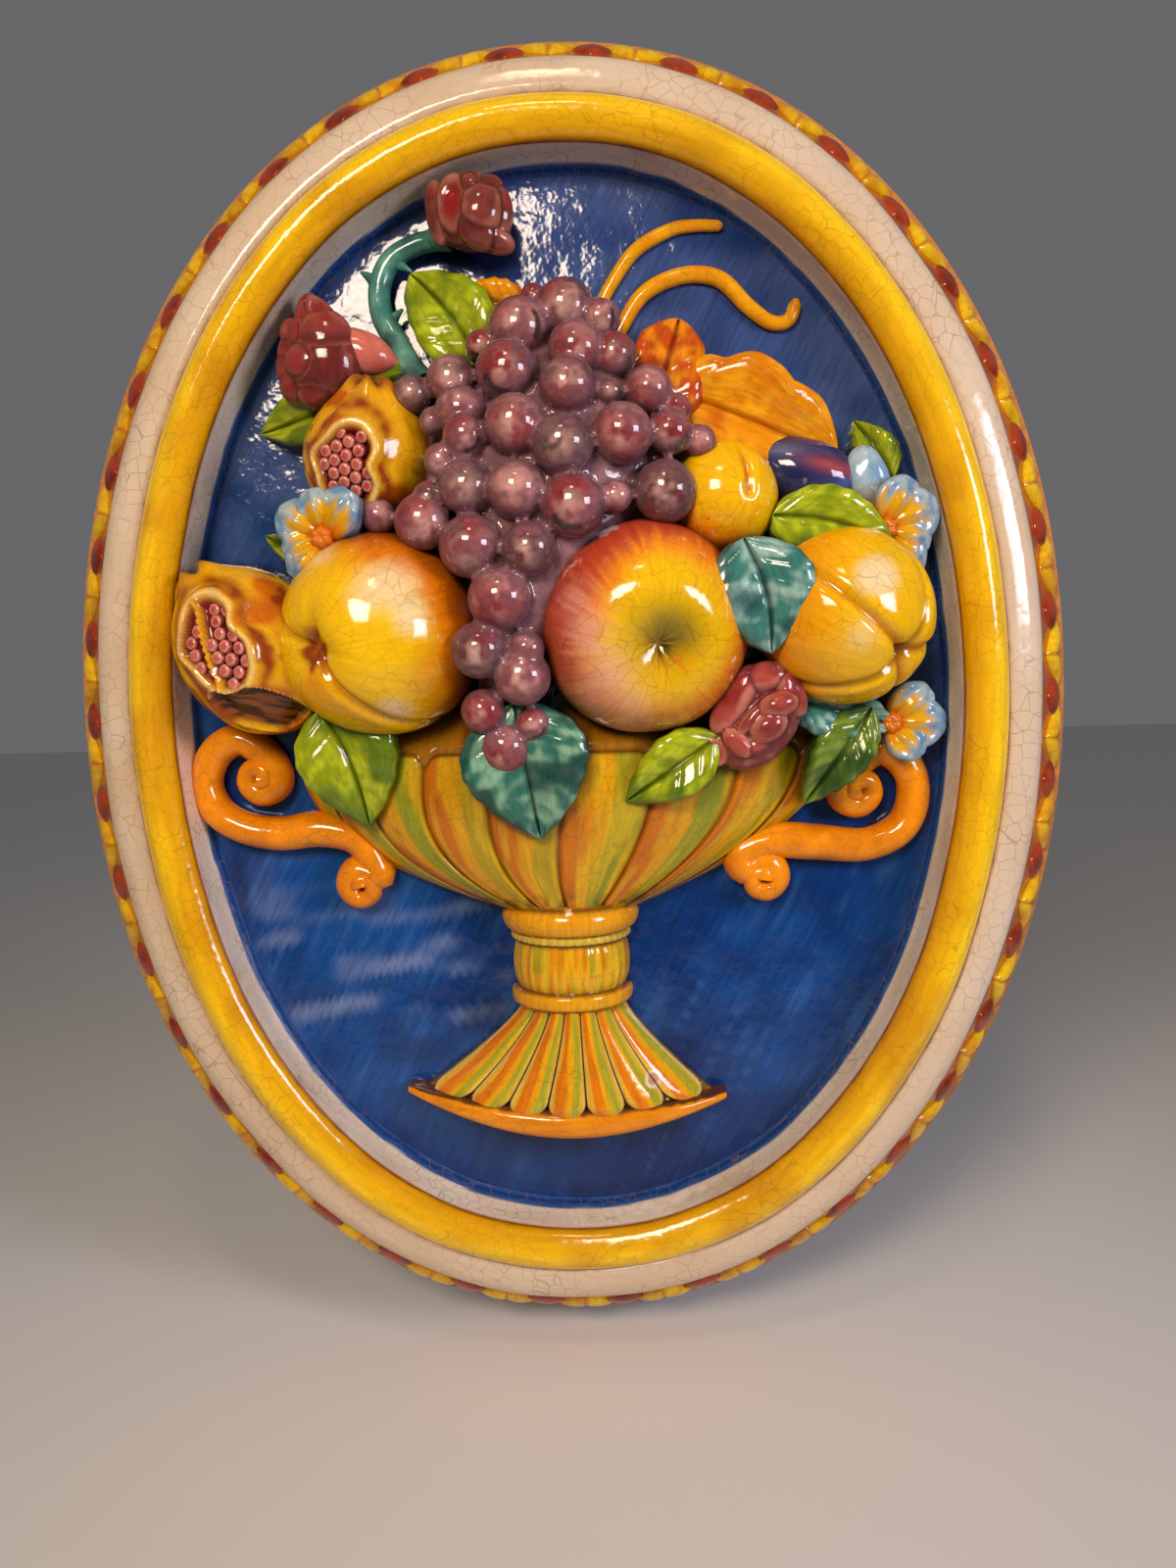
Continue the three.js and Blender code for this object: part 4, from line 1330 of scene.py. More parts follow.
@dataclass
class Fruit(SubAssembly):
    """Apple, quinces, peach and plum."""

    def apple(self) -> None:
        """Big apple with its eye sunk towards the viewer, yellow, blushed red from its edge."""
        obj = turned_ball(self.ground, "apple", (30.6, 32.1, 46), (39.9, 39.9, 38), (0.15, -0.24, 1),
                          lambda p, t: 1 - 0.25 * bell(p, 0.36) - 0.03 * bell(p, 0.08)
                          - 0.012 * np.sin(p) * (1 - np.abs(np.cos(2.5 * t))), 200, 112)
        spots, x, z, _ = self.places(obj)
        dx, dz = (x - 30.6) / 40, (z - 32.1) / 40
        rho, angle = np.hypot(dx, dz), np.arctan2(dz, dx)
        polar, turn = read_turn(obj)
        ray = grain(rows(np.cos(turn) * 24, np.sin(turn) * 24, polar * 3.2), 1.0, 81)
        start = 0.86 - 0.30 * np.clip(-np.cos(angle + 0.15), 0, 1) - 0.16 * np.clip(np.sin(angle - 0.4), 0, 1)
        red = smooth(start - 0.08, start + 0.22, rho + 0.16 * (ray - 0.5))
        tone = Paint("e0b204", "eebd06", grain(spots, 14, 82))
        tone.over("ee8c14", smooth(start - 0.24, start + 0.05, rho + 0.1 * (ray - 0.5)))
        tone.over("b8442a", red)
        tone.over("942c22", smooth(0.25, 0.6, rho - start + 0.35 * (ray - 0.5)))
        under = bell(angle + 1.9, 0.75) * smooth(0.66, 0.92, rho)
        tone.over("b08a52", 0.75 * under)
        for px, pz, wide, share in ((10, 30, 7, 0.8), (16, 14, 9, 0.75), (6, 42, 6, 0.5), (24, 2, 8, 0.5)):
            patch = bell(np.hypot(x - px, z - pz) + 6 * (ray - 0.5), wide)
            tone.over("e6a894", share * patch)
        eye = np.hypot(x - 36.5, z - 24)
        smear = np.hypot((x - 40) * 0.9, z - 29.5)
        tone.over("8a7408", 0.85 * bell(smear, 10) + 0.3 * bell(eye, 14))
        star = grain(rows(np.cos(turn) * 7, np.sin(turn) * 7, polar * 3), 1.0, 83)
        below = smooth(0, -3, z - 23 + 2 * (star - 0.5)) * bell(eye, 11) * bell(x - 40, 9)
        tone.over("ec8c08", 0.9 * below * smooth(0.35, 0.6, star))
        tone.over("3c2008", bell(eye, 5.5) * smooth(0.25, 0.75, star + 0.3 * bell(eye, 2.5)))
        self.keep(obj, FRUIT, tone, round_strokes(obj, 40, 1.6, 18))

    def left_quince(self) -> None:
        """Lobed quince turned to the lower left, with deep creases that meet at its calyx."""
        creases = ((10, 0.05, 0.2, 0.5), (150, 0.08, 0.15, 1.7), (-62, 0.07, 0.15, 1.3), (97, 0.04, 0.2, 0.3))

        def shape(polar: Array, turn: Array) -> Array:
            """Share of the full radius at an angle off the calyx and a turn round it."""
            swell = 1 - 0.15 * bell(polar, 0.26) + 0.09 * bell(polar, 0.085)
            swell = swell + 0.015 * np.cos(3 * turn) * np.sin(polar)
            return dented(swell, polar, turn, creases)

        obj = turned_ball(self.ground, "quince_left", (-68.5, 32, 42), (38.5, 38.5, 39), (-0.5, -0.14, 0.75),
                          shape, 176, 104)
        spots, x, z, _ = self.places(obj)
        polar, turn = read_turn(obj)
        haze = clouds(spots, 14, 5, 85)
        tone = Paint("e8b404", "f0c40c", haze)
        edge = np.hypot(x + 69, z - 32) / 37
        upper = smooth(0.42, 0.85, edge + 0.35 * (haze - 0.5))
        upper = upper * smooth(-0.25, 0.6, (x + 69) / 37 + 0.6 * (z - 32) / 37)
        tone.over("d06a04", 0.95 * upper)
        tone.over("8a3a06", 0.75 * smooth(0.78, 1.05, edge + 0.3 * (haze - 0.5)) * upper)
        for px, pz, wx, wz in ((-60, 48, 11, 9), (-52, 38, 6, 7), (-90, 62, 9, 5), (-60, 5, 6, 4)):
            patch = smooth(1.5, 0.3, np.hypot((x - px) / wx, (z - pz) / wz) + 0.5 * (haze - 0.5))
            tone.over("e6cfa0", 0.8 * patch)
        lobe = smooth(120, 165, np.degrees(np.abs(turn))) * smooth(1.6, 0.3, polar)
        tone.over("e88c04", 0.6 * lobe * haze * 1.5)
        for angle, depth, width, reach in creases:
            near = crease(polar, turn, angle, width * 0.3)
            tone.over("a8600a", 0.85 * near * bell(polar, reach * 0.8) * min(1, depth * 9))
        star = grain(rows(np.cos(turn) * 3, np.sin(turn) * 3, polar * 9), 1.0, 87)
        tone.over("8a3c08", smooth(0.26, 0.1, polar + 0.22 * (star - 0.5)))
        tone.over("c86a10", 0.8 * smooth(0.12, 0.04, polar) * star)
        self.keep(obj, FRUIT, tone, round_strokes(obj, 37, 2.2, 14))

    def right_quince(self) -> None:
        """Quince turned to the right, its lobes running together at the calyx."""
        creases = ((-60, 0.09, 0.17, 1.8), (-136, 0.1, 0.17, 1.4), (16, 0.1, 0.17, 1.5), (80, 0.09, 0.2, 1.2),
                   (150, 0.09, 0.2, 1.2))

        def shape(polar: Array, turn: Array) -> Array:
            """Share of the full radius at an angle off the calyx and a turn round it."""
            swell = 1 - 0.16 * bell(polar, 0.25)
            return dented(swell, polar, turn, creases)

        obj = turned_ball(self.ground, "quince_right", (105.5, 34.5, 40), (34.5, 33.5, 34),
                          (0.62, -0.5, 0.62), shape, 164, 98)
        spots, x, z, _ = self.places(obj)
        polar, turn = read_turn(obj)
        haze = clouds(spots, 13, 5, 88)
        tone = Paint("e4ac04", "f2c008", haze)
        edge = smooth(-0.1, 0.95, -(x - 106) / 33 + 0.15 * (z - 34) / 33 + 0.5 * (haze - 0.5))
        tone.over("ec8a04", 0.85 * edge)
        patch = smooth(1.2, 0.5, np.hypot((x - 112) / 9, (z - 47) / 8) + 0.35 * (haze - 0.5))
        tone.over("e8d4a4", 0.85 * patch)
        tone.over("e8d090", 0.6 * bell(np.hypot(x - 106, z - 26), 5))
        for angle, _, width, reach in creases:
            near = crease(polar, turn, angle, width * 0.22)
            tone.over("b05e06", 0.9 * near * bell(polar, reach))
        tone.over("9a4c06", smooth(0.22, 0.08, polar))
        self.keep(obj, FRUIT, tone, round_strokes(obj, 33, 2.2, 14))

    def peach(self) -> None:
        """Small peach with a crease down its upper right."""

        def shape(polar: Array, turn: Array) -> Array:
            """Share of the full radius; the pole is the end of the crease."""
            near = crease(polar, turn, 2, 0.1, 0.02)
            return 1 - 0.11 * near * smooth(1.35, 0.5, polar) - 0.02 * bell(polar, 0.2)

        obj = turned_ball(self.ground, "peach", (60.5, 79, 42), (21, 21, 21), (0.42, -0.05, 0.9), shape,
                          120, 70)
        spots, x, z, _ = self.places(obj)
        polar, turn = read_turn(obj)
        haze = clouds(spots, 9, 3, 90)
        tone = Paint("eaae04", "f0be08", haze)
        tone.over("e87c06", 0.9 * smooth(0.2, 0.95, (79 - z) / 20 - 0.25 * (x - 60) / 20 + haze - 0.5))
        near = crease(polar, turn, 2, 0.05, 0.02)
        tone.over("c86804", near * smooth(1.3, 0.4, polar))
        cracks = np.abs(grain(spots, 4.5, 92) - 0.5)
        spot = bell(np.hypot(x - 52, z - 70), 8)
        tone.over("8a4408", spot * smooth(0.045, 0.0, cracks) * 0.9)
        self.keep(obj, FRUIT, tone, round_strokes(obj, 20, 2, 12))

    def plum(self) -> None:
        """Long dark plum that lies behind the leaf."""
        obj = turned_ball(self.ground, "plum", (93, 89, 25), (15.5, 14, 24), (1, -0.28, 0.05),
                          lambda p, t: 1 - 0.05 * bell(p, 0.3), 90, 60)
        spots, x, z, _ = self.places(obj)
        haze = grain(spots, (9, 4, 6), 93)
        tone = Paint("1e2450", "3c3c66", haze)
        tone.over("a84a4c", 0.9 * bell(np.hypot((x - 102) / 10, (z - 90 + 0.25 * (x - 102)) / 2.8), 1.0))
        tone.over("4870b8", 0.8 * bell(np.hypot((x - 106) / 4, (z - 82) / 3), 1.0))
        tone.over("7c7c94", 0.6 * bell(np.hypot((x - 84) / 8, (z - 97) / 2.5), 1.0))
        self.keep(obj, GRAPE, tone, flat_strokes(spots, -12, 1.6, 12))

    def build(self) -> None:
        """Make the fruit."""
        self.apple()
        self.left_quince()
        self.right_quince()
        self.peach()
        self.plum()


@dataclass(frozen=True)
class Burst:
    """One burst pomegranate: its place, its crown, and the opening that shows its seeds.

    Sizes are in millimetres. The opening is given by the direction of its middle, its half width and half
    length, and its turn off the upright in degrees; the membrane, where there is one, runs along it at a
    distance from its middle.
    """

    name: str
    at: tuple[float, float, float]
    radius: float
    long: float
    crown: tuple[float, float, float]
    opening: tuple[float, float, float]
    reach: tuple[float, float]
    slant: float
    seed: float
    membrane: float | None = None
    scar: tuple[float, float, float, float, float] | None = None

    def axes(self) -> Array:
        """Directions of the opening as rows: across, along and out of it."""
        return face_axes(self.opening, self.slant)

    def local(self, places: Array) -> Array:
        """Places as millimetres across, along and out of the opening."""
        return (places - np.array(self.at)) @ self.axes().T

    def gap(self, places: Array) -> Array:
        """Above 0 outside the opening, below 0 inside, about 1 for each width of it."""
        across, along, ahead = self.local(places).T
        wave = 0.14 * np.sin(along / self.reach[1] * 4.4 + 0.8) + 0.05 * np.sin(along / self.reach[1] * 9)
        far = np.hypot(across / self.reach[0] + wave, along / self.reach[1])
        return np.where(ahead > 0, far - 1, 5.0)

    def in_scar(self, places: Array) -> tuple[Array, Array]:
        """Nearness to the middle of the dried hollow, 0 to 1, and the distance along it."""
        if self.scar is None:
            return np.zeros(len(places)), np.zeros(len(places))
        x, z, wide, tall, tilt = self.scar
        turn = math.radians(tilt)
        dx, dz = places[:, 0] - x, places[:, 1] - z
        along, across = dx * math.cos(turn) + dz * math.sin(turn), dz * math.cos(turn) - dx * math.sin(turn)
        return smooth(1.05, 0.75, np.hypot(along / wide, across / tall)), across


@dataclass
class Pomegranates(SubAssembly):
    """Two burst pomegranates that show their seeds."""

    fruits: tuple[Burst, ...] = (
        Burst("pomegranate_upper", (-71.5, 98, 36), 24.8, 1.04, (0.12, 1.0, 0.25), (-0.22, -0.3, 1.0),
              (10.5, 15.5), 14, 2.55),
        Burst("pomegranate_lower", (-119, 27.5, 37), 28.5, 1.2, (-0.62, 0.85, 0.0), (-0.3, 0.08, 1.0),
              (11.5, 18.5), -24, 2.7, -3.0, (-113, 6, 19, 8.5, -14)),
    )

    def skin(self, fruit: Burst) -> None:
        """The skin with its crown, the wavy lips of the opening and the floor under the seeds."""
        size = (fruit.radius, fruit.radius, fruit.radius * fruit.long)
        obj = turned_ball(self.ground, fruit.name, fruit.at, size, fruit.crown, lambda p, t: p * 0 + 1,
                          180, 112)
        spots, x, _, _ = self.places(obj)
        polar, turn = read_turn(obj)
        away = fruit.gap(spots)
        across, along, ahead = fruit.local(spots).T
        scar, scar_side = fruit.in_scar(spots)
        scar = scar * (ahead > 0) * smooth(-0.1, 0.1, away)
        web = np.zeros(len(spots))
        if fruit.membrane is not None:
            bend = 1.6 * np.sin(along / fruit.reach[1] * 2)
            web = bell(across - fruit.membrane - bend, 1.1) * smooth(0.05, -0.1, away)
        out = spots - np.array(fruit.at)
        out /= np.linalg.norm(out, axis=1)[:, None]
        lift = 1.5 * bell(away - 0.09, 0.12) - 3.6 * smooth(0.0, -0.16, away) + 4.0 * web - 3.2 * scar
        lift += 1.4 * bell(scar - 0.25, 0.2) * (scar > 0.01)
        lift += 8.0 * bell(polar, 0.33) * (1 - 0.35 * np.cos(5 * turn)) - 8.0 * bell(polar, 0.17)
        lift += 0.6 * (grain(spots, 7, 95) - 0.5)
        self.put(obj, spots + out * lift[:, None])
        haze = clouds(spots, 8, 3.5, 96)
        tone = Paint("e09c06", "f0bc18", haze)
        tone.over("c25c06", 0.9 * smooth(0.46, 0.72, grain(spots, 10, 98) + 0.2 * (haze - 0.5)))
        tone.over("7c3206", 0.85 * smooth(0.55, 0.75, haze))
        tone.over("7a380a", 0.85 * smooth(0.42, 0.2, polar))
        tone.over("8e3c08", np.clip(bell(away - 0.42, 0.16) * haze * 1.9, 0, 1))
        side = smooth(-0.3, 0.9, across / fruit.reach[0])
        tone.over(mixed("d08a14", "e4b040", side), smooth(0.22, 0.12, away))
        tone.over("ecd48c", 0.9 * bell(away - 0.05, 0.035))
        tone.over("701018", smooth(0.0, -0.08, away))
        tone.over("e0a018", np.clip(1.4 * web, 0, 1))
        streak = grain(rows(x / 9, scar_side / 1.3, x * 0), 1.0, 100)
        dry = mixed("8a4c14", "341406", smooth(0.35, 0.65, streak))
        tone.over(dry, smooth(0.35, 0.75, scar))
        tone.over("e4c070", 0.85 * bell(scar - 0.2, 0.13) * (scar > 0.02) * (scar_side > 0))
        self.keep(obj, FRUIT, tone, round_strokes(obj, fruit.radius, 2.2, 10))

    def seeds(self, fruit: Burst) -> None:
        """Seeds packed like a honeycomb on the floor of the opening."""
        pitch = 1.86 * fruit.seed
        right, up, axis = fruit.axes()
        seeds = []
        for i in range(-6, 7):
            for k in range(-9, 10):
                across, along = i * pitch * 0.88, (k + 0.5 * (i % 2)) * pitch
                base = np.array(fruit.at) + right * across + up * along
                if np.hypot(across, along) > fruit.radius * 0.96:
                    continue
                centre = base + axis * (math.sqrt(fruit.radius ** 2 - across ** 2 - along ** 2) - 2.2)
                if fruit.gap(centre[None])[0] > -0.09:
                    continue
                if fruit.membrane is not None and abs(across - fruit.membrane - 1.6 * math.sin(
                        along / fruit.reach[1] * 2)) < fruit.seed * 0.9:
                    continue
                seed = new_ball(fruit.name + "_seed", 24, 14)
                raw = read_points(seed)
                far = np.hypot(raw[:, 0], raw[:, 1])
                raw[:, 2] -= 0.16 * bell(far, 0.5) * (raw[:, 2] > 0)
                shaped = (raw[:, :1] * right * fruit.seed * 0.98 + raw[:, 1:2] * up * fruit.seed * 1.04
                          + raw[:, 2:] * axis * 2.0)
                self.put(seed, centre + shaped)
                write_value(seed, "rim", far * np.sign(raw[:, 2]))
                seeds.append(seed)
        group = joined(fruit.name + "_seeds", seeds)
        outward(group, 1e-7)
        spots, *_ = self.places(group)
        far = read_value(group, "rim")
        haze = grain(spots, 2.4, 99)
        tone = Paint("a8342e", "d0705e", haze)
        tone.over("dca090", 0.8 * bell(far - 0.66, 0.14))
        tone.over("6a1418", smooth(0.84, 0.95, far) + (far < 0))
        self.keep(group, FRUIT, tone, spots / 2)

    def build(self) -> None:
        """Make both fruits."""
        for fruit in self.fruits:
            self.skin(fruit)
            self.seeds(fruit)


# ---- grapes
@dataclass
class Grapes(SubAssembly):
    """The heap of grapes that runs down the middle of the fruit."""

    spread: float = 34.0
    sunk: float = 2.2
    swell: float = 1.1
    voxel: float = 1.02
    berries: tuple = (
        (4, 151, 10), (-13, 143, 10.5), (17, 146, 7), (-8, 157, 4.5), (8, 133, 9.5), (22, 131, 7.5),
        (-17, 125, 10.5), (-38, 124, 8.5), (5, 118, 9.5), (20, 116, 4.5), (34, 117, 8), (44, 110, 5),
        (-27, 137, 5.5), (-34, 111, 8.5), (-32, 101, 7.5), (-14, 104, 10), (3, 96, 10), (24, 100, 10),
        (41, 101, 7.5), (52, 98, 5.5), (-53, 120, 6.5), (-44, 108, 5), (-41, 93, 6), (-32, 83, 9),
        (-14, 81, 9.5), (6, 75, 10.5), (21, 78, 5.5), (39, 80, 10.5), (-49, 72, 9.5), (-66, 75, 6),
        (-46, 80, 6), (-31, 62, 10.5), (-10, 60, 9), (-21, 43, 10.5), (-29, 25, 9.5), (-14, 15, 9.5),
        (-29, 3, 7.5), (-11, -2, 6), (-22, -11, 9), (-12, 25, 6),)

    @staticmethod
    def spine(z: Array) -> Array:
        """The line down the middle of the heap."""
        return -22 * bell(z + 2, 62)

    def heap_height(self, x: Array, z: Array) -> Array:
        """Height of the heap under the grapes."""
        back = (68 - 32 * np.maximum(0, (z - 96) / 56) ** 1.3 - 11 * np.maximum(0, (30 - z) / 40) ** 1.5)
        aside = ((x - self.spine(z)) / self.spread) ** 2
        return back - 9 * aside / (1 + 0.25 * aside)

    def bunch(self) -> Obj:
        """Berries and heap run together as one skin, with soft fillets where they meet."""
        balls = []
        for x, z, radius in self.berries:
            ball = new_ball("grape", 40, 26)
            raw = read_points(ball)
            height = float(self.heap_height(np.float64(x), np.float64(z)))
            place = raw * np.array([self.swell, self.swell, 1.04]) * radius + np.array([x, z, height])
            self.put(ball, place)
            balls.append(ball)

        def surface(u: Array, v: Array) -> Array:
            """Face of the heap under the berries."""
            across = 2 * u - 1
            z = -15 + 170 * v
            x = self.spine(z) + across * (10 + 40 * bell(z - 98, 46))
            return rows(x, z, self.heap_height(x, z) - self.sunk - 12 * np.abs(across) ** 3
                        - 12 * np.abs(2 * v - 1) ** 6)

        heap = new_raised(self.ground, "grape_heap", 60, 90, surface, root=12.0)
        return fused("grapes", [*balls, heap], self.voxel, 5)

    def build(self) -> None:
        """The fused bunch, painted berry by berry."""
        grapes = self.bunch()
        spots, x, z, _ = self.places(grapes)
        count = len(self.berries)
        best = np.full(len(spots), 1e9)
        nearest = np.zeros(len(spots), int)
        for i, (bx, bz, radius) in enumerate(self.berries):
            height = float(self.heap_height(np.float64(bx), np.float64(bz)))
            far = np.linalg.norm(spots - np.array([bx, bz, height]), axis=1) / radius
            nearest = np.where(far < best, i, nearest)
            best = np.minimum(best, far)
        centres = np.array(self.berries, float)
        wide = (x - centres[nearest, 0]) / centres[nearest, 2]
        tall = (z - centres[nearest, 1]) / centres[nearest, 2]
        chance = np.random.default_rng(11).random((count, 3))[nearest]
        haze = grain(spots, 6, 101) * 0.55 + grain(spots, 2.6, 102) * 0.45
        fine = grain(spots, 1.5, 105)
        tone = Paint("824e54", "b07a76", smooth(0.35, 0.65, haze))
        side = np.where(chance[:, 2] > 0.5, tall - wide, -tall - 0.6 * wide)
        red = smooth(0.44, 0.66, haze * 0.5 + chance[:, 0] * 0.4 + 0.2 * side + 0.1)
        tone.over("821c20", 0.9 * red)
        tone.over("3c3436", 0.75 * smooth(0.58, 0.8, chance[:, 1] * 0.8 + 1.1 * (haze - 0.5) + 0.1))
        bloom = bell(np.hypot(wide + 0.1, tall + 0.15), 0.5) * smooth(0.4, 0.7, haze + 0.25 * fine - 0.1)
        tone.over("d4a498", 0.75 * bloom)
        rim = smooth(0.7, 1.0, np.hypot(wide, tall) + 0.25 * (haze - 0.5))
        tone.over("5a3846", 0.6 * rim)
        # A dark crescent on the right side of most berries: painted shade.
        low = smooth(0.6, 1.0, 0.85 * wide - 0.6 * tall * np.sign(chance[:, 0] - 0.4) + 0.45 * (haze - 0.5))
        tone.over("1e1a1c", 0.85 * low * (chance[:, 1] > 0.35))
        arc = np.abs(np.hypot(wide - 0.1, tall + 0.1) - 0.72 + 0.12 * wide) / 0.09
        aim = np.arctan2(tall, wide) + 2.6 * chance[:, 0]
        stroke = np.clip(1.3 - arc, 0, 1) * smooth(0.72, 0.84, np.cos(aim))
        tone.over("0c0a0b", np.clip(stroke * 2, 0, 1) * (chance[:, 2] > 0.8))
        between = smooth(1.02, 1.16, best)
        glass = mixed("6a4650", "a0787c", haze)
        tone.over(glass, between)
        self.keep(grapes, GRAPE, tone, spots / 3)


# ---- leaves
class Green(Enum):
    """The colourings of the leaves: ground, highlight, shade and vein."""

    LIME = ("8a9a0e", "b4c01e", "4c6a0c", "2c420a")
    TEAL = ("2e6a5a", "8ab898", "16403c", "0a1e22")
    SEA = ("3c7a70", "9cc0b4", "1e4a4a", "0c2426")
    DEEP = ("5a7a1e", "8aa040", "24461a", "14300e")
    ORANGE = ("e08c06", "f0a814", "c46006", "a04a06")
    RUST = ("c04e0e", "e8920e", "8e2e10", "7a280c")


@dataclass(frozen=True)
class LeafShape:
    """One leaf: where it runs, how wide and high it is, and how it is coloured."""

    name: str
    start: tuple[float, float]
    tip: tuple[float, float]
    width: float
    height: tuple[float, float]
    green: Green = Green.LIME
    arch: float = 4.0
    sway: float = 0.0
    lobes: float = 0.0
    veins: int = 6
    curl: float = 1.0
    full: float = 0.8


@dataclass
class Leaves(SubAssembly):
    """The leaves among and under the fruit, and the two tendrils of the vine."""

    shapes: tuple[LeafShape, ...] = (
        LeafShape("leaf_rose", (-28, 132), (-55, 169), 31, (38, 25), sway=-2, full=0.6, veins=5),
        LeafShape("leaf_vine_bud", (-10, 152), (-38, 160), 18, (30, 24), Green.ORANGE, full=0.5),
        LeafShape("leaf_upper_left", (-56, 131), (-117, 112), 30, (32, 21), sway=2, curl=2.4, full=0.7,
                  veins=5),
        LeafShape("leaf_sliver", (-94, 60), (-118, 73), 10, (27, 20)),
        LeafShape("leaf_peach", (78, 71), (125, 57), 25, (53, 44), sway=4, full=0.55, curl=0.4),
        LeafShape("leaf_apple", (66, 62), (76, 21), 36, (66, 62), Green.SEA, sway=3, full=0.7),
        LeafShape("leaf_grape", (-18, 6), (-10, -46), 47, (60, 53), Green.TEAL, veins=7),
        LeafShape("leaf_bowl_left", (-92, 5), (-77, -41), 38, (48, 41), sway=3),
        LeafShape("leaf_bowl_middle", (57, -9), (22, -33), 24, (53, 49.5), Green.LIME, veins=5),
        LeafShape("leaf_teal_long", (84, 4), (128, -8), 22, (45, 33), Green.SEA, veins=8),
        LeafShape("leaf_bowl_right", (116, 0), (91, -37), 22, (43, 37), Green.DEEP, veins=7),
        LeafShape("leaf_plum", (128, 87), (114, 110), 16, (25, 20)),
        LeafShape("leaf_vine_red", (34, 104), (47, 149), 32, (34, 25), Green.RUST, lobes=0.14, full=0.38,
                  veins=4),
        LeafShape("leaf_vine_gold", (44, 120), (106, 94), 46, (33, 27), Green.ORANGE, lobes=0.16, sway=1,
                  full=0.42, veins=4, curl=2.0),
    )

    def leaf(self, shape: LeafShape) -> None:
        """One leaf: arched, its midrib sunk, its side veins pressed in, its edges bent down."""
        dx, dz = shape.tip[0] - shape.start[0], shape.tip[1] - shape.start[1]
        length = math.hypot(dx, dz)
        slope = 0.55

        def veins(u: Array, v: Array) -> tuple[Array, Array]:
            """Nearness to the midrib and to the side veins, 0 to 1."""
            side = np.abs(2 * u - 1)
            wave = (v - slope * 0.42 * side) * shape.veins
            near = np.abs((wave + 0.5) % 1 - 0.5) / shape.veins * length
            return bell(side * shape.width / 2, 1.2), bell(near, 0.9) * smooth(0.03, 0.2, side)

        def surface(u: Array, v: Array) -> Array:
            """Face of the leaf, u across and v from stalk to tip."""
            across = 2 * u - 1
            lobed = 1 - shape.lobes * (1 - np.abs(np.cos(2.5 * np.pi * v)))
            half = (shape.width / 2) * np.sin(np.pi * v ** 0.76) ** shape.full * lobed + 0.15
            wave = 0.3 * np.sin(v * shape.veins * 2 * np.pi) * np.abs(across) ** 3
            offset = across * (half + wave) + shape.sway * np.sin(np.pi * v)
            middle, side = veins(u, v)
            cup = 2.6 * shape.curl * (1 - np.cos(np.pi * np.clip(1.15 * np.abs(across), 0, 1.2))) * 0.5
            low, high = shape.height
            height = (low + (high - low) * v + shape.arch * np.sin(np.pi * v)
                      + cup * np.sin(np.pi * v) - 2.2 * np.abs(across) ** 6 - 1.6 * middle - 0.4 * side
                      + 1.1 * (grain(rows(u * 3, v * length / 14, u * 0), 1.0, 114) - 0.5))
            x = shape.start[0] + dx * v - dz / length * offset
            z = shape.start[1] + dz * v + dx / length * offset
            return rows(x, z, np.maximum(self.ground.field_height - 1, height))

        obj = new_raised(self.ground, shape.name, 42, 58, surface, lip=0.8)
        spots, x, z, _ = self.places(obj)
        u, v = read_uv(obj)
        middle, side = veins(u, v)
        base, light, shade, vein = shape.green.value
        haze = clouds(spots, 7, 3, 111, 0.5)
        wave = ((v - slope * 0.42 * np.abs(2 * u - 1)) * shape.veins) % 1
        tone = Paint(base, light, 0.85 * smooth(0.38, 0.75, haze + 0.14 * bell(wave - 0.6, 0.22)))
        tone.over(shade, 0.85 * smooth(0.48, 0.78, grain(spots, 10, 113) + 0.2 * np.abs(2 * u - 1) - 0.1))
        tone.over(vein, 0.8 * middle)
        tone.over(shade, 0.3 * side * smooth(0.3, 0.7, haze))
        self.keep(obj, LEAF, tone, rows((2 * u - 1) * shape.width / 3, v * length / 9, wave))

    def tendrils(self) -> None:
        """Two thin yellow tendrils pressed on the field above the vine leaf."""
        runs = {
            "tendril_upper": ([(14, 150), (21, 164), (31, 177), (44, 184), (54, 185.5), (65, 185)], 2.5),
            "tendril_lower": ([(22, 143), (33, 160), (48, 167), (63, 165.5), (74, 155), (83, 148.5),
                               (90, 149.5), (93, 157)], 3.1),
        }
        for name, (points, thick) in runs.items():
            line = flow(points, 110)
            share = np.linspace(0, 1, len(line))
            radius = thick * (0.75 + 0.25 * np.sin(np.pi * share)) * smooth(1.02, 0.97, share) + 0.2
            places = np.column_stack([line, np.full(len(line), 16.6)])
            obj = new_strand(self.ground, name, places, radius, 0.9, 16)
            spots, *_ = self.places(obj)
            tone = Paint("f0b006", "e08a06", grain(spots, 7, 114))
            self.keep(obj, YELLOW, tone, spots / 4)

    def build(self) -> None:
        """Make all the leaves and the tendrils."""
        for shape in self.shapes:
            self.leaf(shape)
        self.tendrils()


